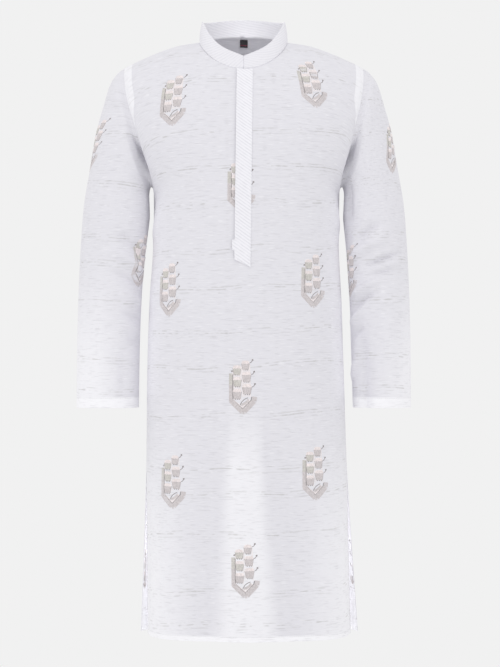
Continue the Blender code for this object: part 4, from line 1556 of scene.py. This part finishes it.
def nearest(cloth, x, z):
    """The flat lengths of the grid point nearest to an x and a z."""
    gap = (cloth.points[..., 0] - x) ** 2 + (cloth.points[..., 2] - z) ** 2
    spot = np.unravel_index(np.argmin(gap), gap.shape)
    return cloth.across[spot], cloth.along[spot]


def sleeve_place(cloth, left, by_front, along):
    """The flat lengths of a place given by its share of the way round a sleeve and its height."""
    columns = cloth.across.shape[1]
    column = int((1 - by_front if left else by_front) * columns)
    return np.interp(along, cloth.along[::-1, column], cloth.across[::-1, column]), along


def edge_room(cloth, middle):
    """How far each thread's middle is from the piece's side edges, of which a tube has none."""
    if cloth.ring:
        return np.full(len(middle), REPEAT)
    level = cloth.along[:, 0]
    left, right = (np.interp(middle[:, 1], level, cloth.across[:, column]) for column in (0, -1))
    return np.minimum(middle[:, 0] - left, right - middle[:, 0])


def embroider(name, cloth, places, mirror=1):
    """The figures on one piece, as one object.

    Threads that would pass the piece's edge are left out. A figure that an edge cuts also shows on
    the inside, and beside a slit it lies on the turned edge there.
    """
    groups = []
    order = list(FLOSS)
    base = THIN / 2 - SUNK
    for across, along in places:
        for starts, ends, colour, height in figure_parts:
            both = [np.array([across, along]) + part * MM * (mirror, 1) for part in (starts, ends)]
            near = edge_room(cloth, (both[0] + both[1]) / 2)
            kept = near > FLOSS_WIDTH
            if not np.any(kept):
                continue
            shown, number = [part[kept] for part in both], order.index(colour)
            groups.append((ridges(cloth, *shown, FLOSS_WIDTH, height, base), number))
            if not np.all(kept) or near.min() < CUT_WITHIN:
                inside = np.where(near[kept] < SLIT_TURN, UNDER - base, -base)
                groups.append((ridges(cloth, *shown, FLOSS_WIDTH, -height, inside), number))
    return ridge_mesh(name, groups, list(FLOSS.values()))


front_places = [nearest(front, x, z) for x, z in zip(*FRONT_FIGURES.values())]
front_figures = embroider("front_figures", front, front_places)
back_end = back.along[-1].min() - FIGURE_HALF
back_places = []
for across, first in zip(*BACK_COLUMNS.values()):
    back_places += [(across, along) for along in np.arange(first, back_end, REPEAT)]
back_figures = embroider("back_figures", back, back_places)
for name, (cloth, _) in sleeves.items():
    rows = zip(*SLEEVE_FIGURES[name].values())
    places = [sleeve_place(cloth, name == "left", *row) for row in rows]
    embroider("sleeve_figures_" + name, cloth, places, -1)
sleeve_count = sum(len(rows["along"]) for rows in SLEEVE_FIGURES.values())
print("figures:", len(front_places) + len(back_places) + sleeve_count)

# %% [markdown]
# ## The label
# A dark woven label is caught under the collar inside the back neck, with a small folded loop of
# tape above it. It carries no lettering, only a plain stripe.

# %% Label
LABEL_LEFT, LABEL_RIGHT = -0.0092, 0.0046
LABEL_TOP, LABEL_BOTTOM = 0.0130, 0.0010
LABEL_THICK = 0.0008
LABEL_STEPS = 10
LABEL_LIFT, LABEL_CURL, LABEL_WAVE = -0.0014, 0.0016, 0.0004
TAPE_WIDTH, TAPE_THICK, TAPE_COLUMNS = 0.0060, 0.0005, 5
LOOP_ENDS, LOOP_STEPS = (-0.15 * np.pi, 1.15 * np.pi), 14
LOOP_COLUMN = 60  # the back's column that the loop stands off from
LOOP_OFF, LOOP_UP = (0.0042, 0.0014), (0.0055, 0.0040)  # its middle and its radius, inward and up


def label_cloth():
    """The label on the inside of the back, its foot standing off a little."""
    middle = back.points.shape[1] // 2
    levels = back.points[:, middle, 2]
    bottom, top = np.interp((LABEL_BOTTOM, LABEL_TOP), levels, back.along[:, middle])
    share = np.linspace(0, 1, LABEL_STEPS)
    x = LABEL_RIGHT + (LABEL_LEFT - LABEL_RIGHT) * share
    across = np.broadcast_to(lean(LABEL_TOP) - x, (LABEL_STEPS, LABEL_STEPS))
    along = np.broadcast_to((bottom + (top - bottom) * share)[:, None], across.shape)
    curl = LABEL_CURL * (1 - ease(share))[:, None] + LABEL_WAVE * np.sin(share * np.pi * 2)
    points = back.at(across, along, LABEL_LIFT - curl)
    return Cloth(points, across - across[0, 0], along - bottom)


label = label_cloth()
label_piece = wall("label", label, LABEL_THICK, ribbon)
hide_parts("neck_label")


def loop_cloth():
    """A short tape folded into a loop above the label."""
    turn = np.linspace(*LOOP_ENDS, LOOP_STEPS)[:, None]
    across = np.linspace(-TAPE_WIDTH / 2, TAPE_WIDTH / 2, TAPE_COLUMNS) + 0 * turn
    centre = (label.across[0, 0] + label.across[0, -1]) / 2
    foot = back.at(np.array([centre]), np.array([back.along[-1, LOOP_COLUMN]]))[0]
    middle_x = (LABEL_LEFT + LABEL_RIGHT) / 2 + lean(LABEL_TOP)
    y = foot[1] - LOOP_OFF[0] - LOOP_OFF[1] * np.cos(turn) + 0 * across
    z = LABEL_TOP + LOOP_UP[0] + LOOP_UP[1] * np.sin(turn) + 0 * across
    points = np.stack([middle_x - across, y, z], -1)
    return Cloth(points, across, np.broadcast_to(turn * (TAPE_WIDTH / 2), across.shape))


loop_piece = wall("label_loop", loop_cloth(), TAPE_THICK, collar_stripes)
print("label:", [round(float(np.ptp(label.across)), 4), round(float(np.ptp(label.along)), 4)])

# %% [markdown]
# ## The flat cuts
# Each piece of cloth is printed with the size it was cut to. Panels and sleeves are shaped
# inside those rectangles, so their own flat area is printed too.

# %% Flat cuts
FRONT_CUT, BACK_CUT, SLEEVE_CUT = (0.595, 1.122), (0.522, 1.127), (0.560, 0.635)
BAND_CUT, PLACKET_CUT = (0.518, 0.044), (0.0322, 0.357)
LOWER, UPPER = slice(None, -1), slice(1, None)
CORNERS = ((LOWER, LOWER), (LOWER, UPPER), (UPPER, UPPER), (UPPER, LOWER))  # of a grid's cells


def flat_area(cloth):
    """The area of a grid in flat lengths, closed round a tube."""
    across, along = cloth.across, cloth.along
    if cloth.ring:
        across = np.concatenate([across, cloth.girth()], axis=1)
        along = np.concatenate([along, along[:, :1]], axis=1)
    corners = [(across[place], along[place]) for place in CORNERS]
    pairs = zip(corners, corners[1:] + corners[:1])
    area = sum(x0 * y1 - x1 * y0 for (x0, y0), (x1, y1) in pairs)
    return float(np.abs(area / 2).sum())


def declare(piece, cloth, cut):
    """States a piece's flat cut and prints what its cloth measures."""
    area = flat_area(cloth)
    size = [round(float(np.ptp(grid)), 3) for grid in (cloth.across, cloth.along)]
    print(piece.name, "cut", cut, "measures", size, "area", round(area, 4))


declare(front_piece, front, FRONT_CUT)
declare(back_piece, back, BACK_CUT)
for name, (cloth, piece) in sleeves.items():
    declare(piece, cloth, SLEEVE_CUT)
declare(collar_piece, collar, BAND_CUT)
declare(placket_piece, placket, PLACKET_CUT)

# %% [markdown]
# ## Floor and sky
# White cloth on a pale ground needs light from all round, or its shaded side turns grey. An even
# pale sky gives that, and it is also what stands behind the garment.

# %% Floor and sky
FLOOR_Z = -1.75
FLOOR_RADIUS, FLOOR_SIDES = 1.6, 96
FLOOR_GREY = (0.86, 0.86, 0.86, 1)
SKY_GREY = (0.8796, 0.8796, 0.8796, 1)

world = bpy.data.worlds.new("studio")
world.use_nodes = True
world.node_tree.nodes["Background"].inputs["Color"].default_value = SKY_GREY
bpy.context.scene.world = world
bpy.context.scene.view_settings.view_transform = "Standard"

floor_mesh = bpy.data.meshes.new("floor")
disc = bmesh.new()
bmesh.ops.create_circle(disc, cap_ends=True, segments=FLOOR_SIDES, radius=FLOOR_RADIUS)
disc.to_mesh(floor_mesh)
disc.free()
floor_mesh.materials.append(Finish("floor", 0.9, **{"Base Color": FLOOR_GREY}).material)
floor = add_object("floor", floor_mesh, (0, 0, FLOOR_Z))
print("floor:", floor.name, "at", FLOOR_Z, "m")

# %% [markdown]
# ## Lights
# Two wide soft lights at the sides make the edges of the cloth a little brighter than its front,
# one above models the shoulders, and one behind lights the back. Thin cotton lets light through,
# which a closed surface can't show, so three small lamps in the hollow brighten the inside of the
# neck, of the band and of the skirt. Between sleeve and body, cloth lights cloth. Two thin panels
# of light in each gap do the same there, one facing each side.

# %% Lights
GARMENT_MIDDLE = (0, 0, -0.65)
GAP_LIGHT_SIZE = (0.36, 0.16)
GAP_LIGHT_X, GAP_LIGHT_Z = 0.1800, -0.46
BODY_GAP_POWER, SLEEVE_GAP_POWER = 0.022, 0.011


def add_light(name, kind, power, place, turn=(0, 0, 0), **settings):
    """A light of some kind and power that is not itself seen, with that kind's own settings."""
    data = bpy.data.lights.new(name, kind)
    data.energy = power
    for word, value in settings.items():
        setattr(data, word, value)
    add_object(name, data, place, turn).visible_camera = False


def panel_of(size):
    """The settings of an area light with a width and a height."""
    return {"shape": "RECTANGLE", "size": size[0], "size_y": size[1]}


for name, place, size, power in (
    ("left_light", (-2.2, -1.9, -0.8), (1.4, 2.2), 11),
    ("right_light", (2.2, -1.9, -0.8), (1.4, 2.2), 7.2),
    ("top_light", (0, -1.2, 1.8), (2.0, 1.2), 8),
    ("back_light", (0, 2.8, -0.4), (2.4, 2.0), 9),
):
    x, y, z = np.array(GARMENT_MIDDLE) - np.array(place)
    aimed = (np.arctan2(np.hypot(x, y), -z), 0, np.arctan2(x, -y) + np.pi)
    add_light(name, "AREA", power, place, aimed, **panel_of(size))
for name, z, power, radius in (
    ("neck_lamp", -0.16, 0.11, 0.04),
    ("band_lamp", 0.034, 0.028, 0.015),
    ("skirt_lamp", -0.90, 0.50, 0.04),
):
    add_light(name, "POINT", power, (0, 0, z), shadow_soft_size=radius)
for side in (-1, 1):
    for turn in (-1, 1):
        power = BODY_GAP_POWER if side * turn > 0 else SLEEVE_GAP_POWER
        place = (side * GAP_LIGHT_X + lean(GAP_LIGHT_Z), 0, GAP_LIGHT_Z)
        facing = (0, turn * (np.pi / 2), 0)
        name = f"gap_light_{side}_{turn}"
        add_light(name, "AREA", power, place, facing, **panel_of(GAP_LIGHT_SIZE))
print("lights:", len(bpy.data.lights))
